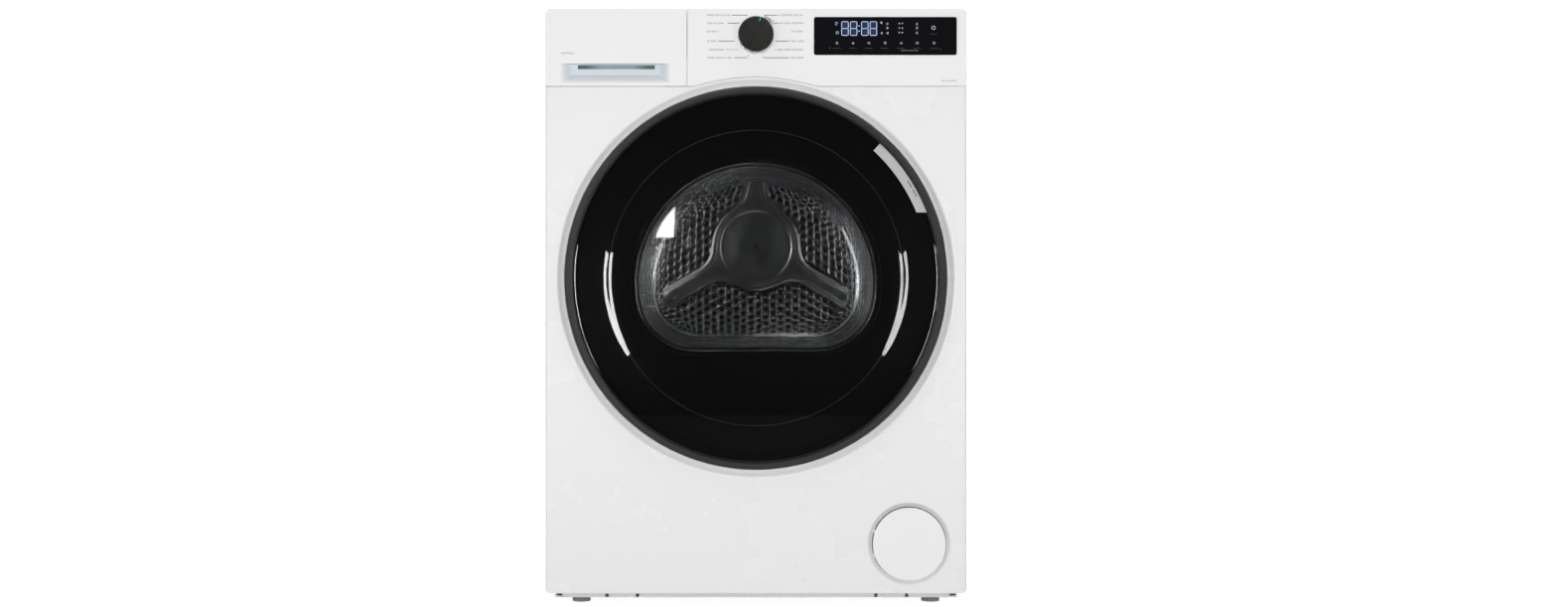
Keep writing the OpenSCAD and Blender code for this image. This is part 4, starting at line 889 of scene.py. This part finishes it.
for a0, a1 in ((315, 385), (400, 470), (510, 580), (595, 665)):
    digit8(a0, a1, 115, 255)
for zy in (160, 210):
    x, z = dg(489, zy); segs.append(rect(x - 0.75, x + 0.75, z - 0.75, z + 0.75))
m_seg = flat_glow("display_blue", (0.46, 0.58, 0.84), 0.68)
m_icon = flat_glow("display_icon", (0.42, 0.50, 0.60), 0.75)
m_dim = flat_glow("display_dim", (0.16, 0.19, 0.22), 0.18)
m_strip = enamel("touch_strip", (0.030, 0.032, 0.036), 0.25, 0.004, 0.5, 0.0, 0.01, 50)
YD = -2.4
fin(prism("display_figures", segs, YD - 0.10, YD + 0.1), "cabinet", m_seg, None)
wells = []
for a0, a1 in ((315, 385), (400, 470), (510, 580), (595, 665)):
    (wx0, wz1), (wx1, wz0) = dg(a0, 115), dg(a1, 255)
    wells.append(rect(wx0 + 0.1, wx1 - 0.1, wz0 + 0.1, wz1 - 0.1))
fin(prism("display_wells", wells, YD - 0.04, YD + 0.1), "cabinet", flat_glow("display_navy", (0.010, 0.016, 0.050), 0.35), None)
icons = []
x, z = dg(268, 137); icons += arc(x, z, 1.9, 0.2, 5.0, 0.42, 12)
x, z = dg(275, 228); icons += arc(x, z, 1.9, -0.6, 3.9, 0.42, 12) + [bar(x - 1.2, z - 1.4, x + 1.2, z - 1.4, 0.42)]
for zx, zy in ((708, 128), (768, 140), (768, 180), (712, 230), (770, 230)):
    x, z = dg(zx, zy); icons += arc(x, z, 1.25, 0, 2 * math.pi, 0.38, 12) + [bar(x - 0.8, z - 0.8, x + 0.8, z + 0.8, 0.34)]
for zy in (135, 180, 225):
    for zx in (885, 915):
        x, z = dg(zx, zy); icons += [rect(x - 1.1, x + 1.1, z - 0.24, z + 0.24), rect(x - 0.24, x + 0.24, z - 1.0, z + 1.0)]
for zy in (140, 180, 228):
    x, z = dg(1060, zy); icons += arc(x, z, 1.3, 0.5, 5.6, 0.38, 12)
fin(prism("display_icons", icons, YD - 0.08, YD + 0.1), "cabinet", m_icon, None)
x, z = dg(1222, 178)
power = arc(x, z, 2.5, math.radians(120), math.radians(420), 0.5, 20) + [bar(x, z + 0.6, x, z + 3.1, 0.5)]
touch = []
for i, zx in enumerate((270, 430, 585, 745, 903, 1062, 1228)):
    x, z = dg(zx, 328)
    if i % 3 == 0: touch += arc(x, z, 1.5, 0, 2 * math.pi, 0.36, 14)
    elif i % 3 == 1: touch += [bar(x - 1.4, z - 0.9, x, z + 1.3, 0.36), bar(x, z + 1.3, x + 1.4, z - 0.9, 0.36), bar(x - 1.4, z - 0.9, x + 1.4, z - 0.9, 0.36)]
    else: touch += [bar(x - 1.4, z + 1.1, x + 1.4, z + 1.1, 0.36), bar(x - 1.4, z - 1.1, x + 1.4, z - 1.1, 0.36), bar(x - 1.4, z - 1.1, x - 1.4, z + 1.1, 0.36), bar(x + 1.4, z - 1.1, x + 1.4, z + 1.1, 0.36)]
fin(prism("touch_marks", power + touch, YD - 0.08, YD + 0.1), "cabinet", flat_glow("touch_white", (0.55, 0.58, 0.60), 0.6), None)
strips = []
for zx in (270, 430, 585, 745, 903, 1062, 1228):
    x, z = dg(zx, 380); strips.append(rect(x - 5.6, x + 5.6, z - 0.7, z + 0.7))
x, z = dg(1222, 240); strips.append(rect(x - 5.0, x + 5.0, z - 0.6, z + 0.6))
fin(prism("touch_strips", strips, YD - 0.06, YD + 0.1), "cabinet", m_strip, None)
dots = []
for zx, zy in ((200, 380), (1290, 388)):
    x, z = dg(zx, zy); dots.append(disc(x, z, 0.6, 12))
x0, z0 = dg(905, 402); x1, _ = dg(1070, 402); x = x0
while x < x1:
    L = 0.7 + 1.1 * rnd(); dots.append(rect(x, min(x1, x + L), z0 - 0.5, z0 + 0.5)); x += L + 0.45
fin(prism("display_dashes", dots, YD - 0.07, YD + 0.1), "cabinet", m_dim, None)

# ---------------------------------------------------------------- sizes, and done
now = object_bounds()
({"cad_box": [list(map(float, p)) for p in CAD_BOX] if hasattr(CAD_BOX, "__iter__") else str(CAD_BOX),
           "visual_box": [list(map(float, p)) for p in now] if hasattr(now, "__iter__") else str(now)})
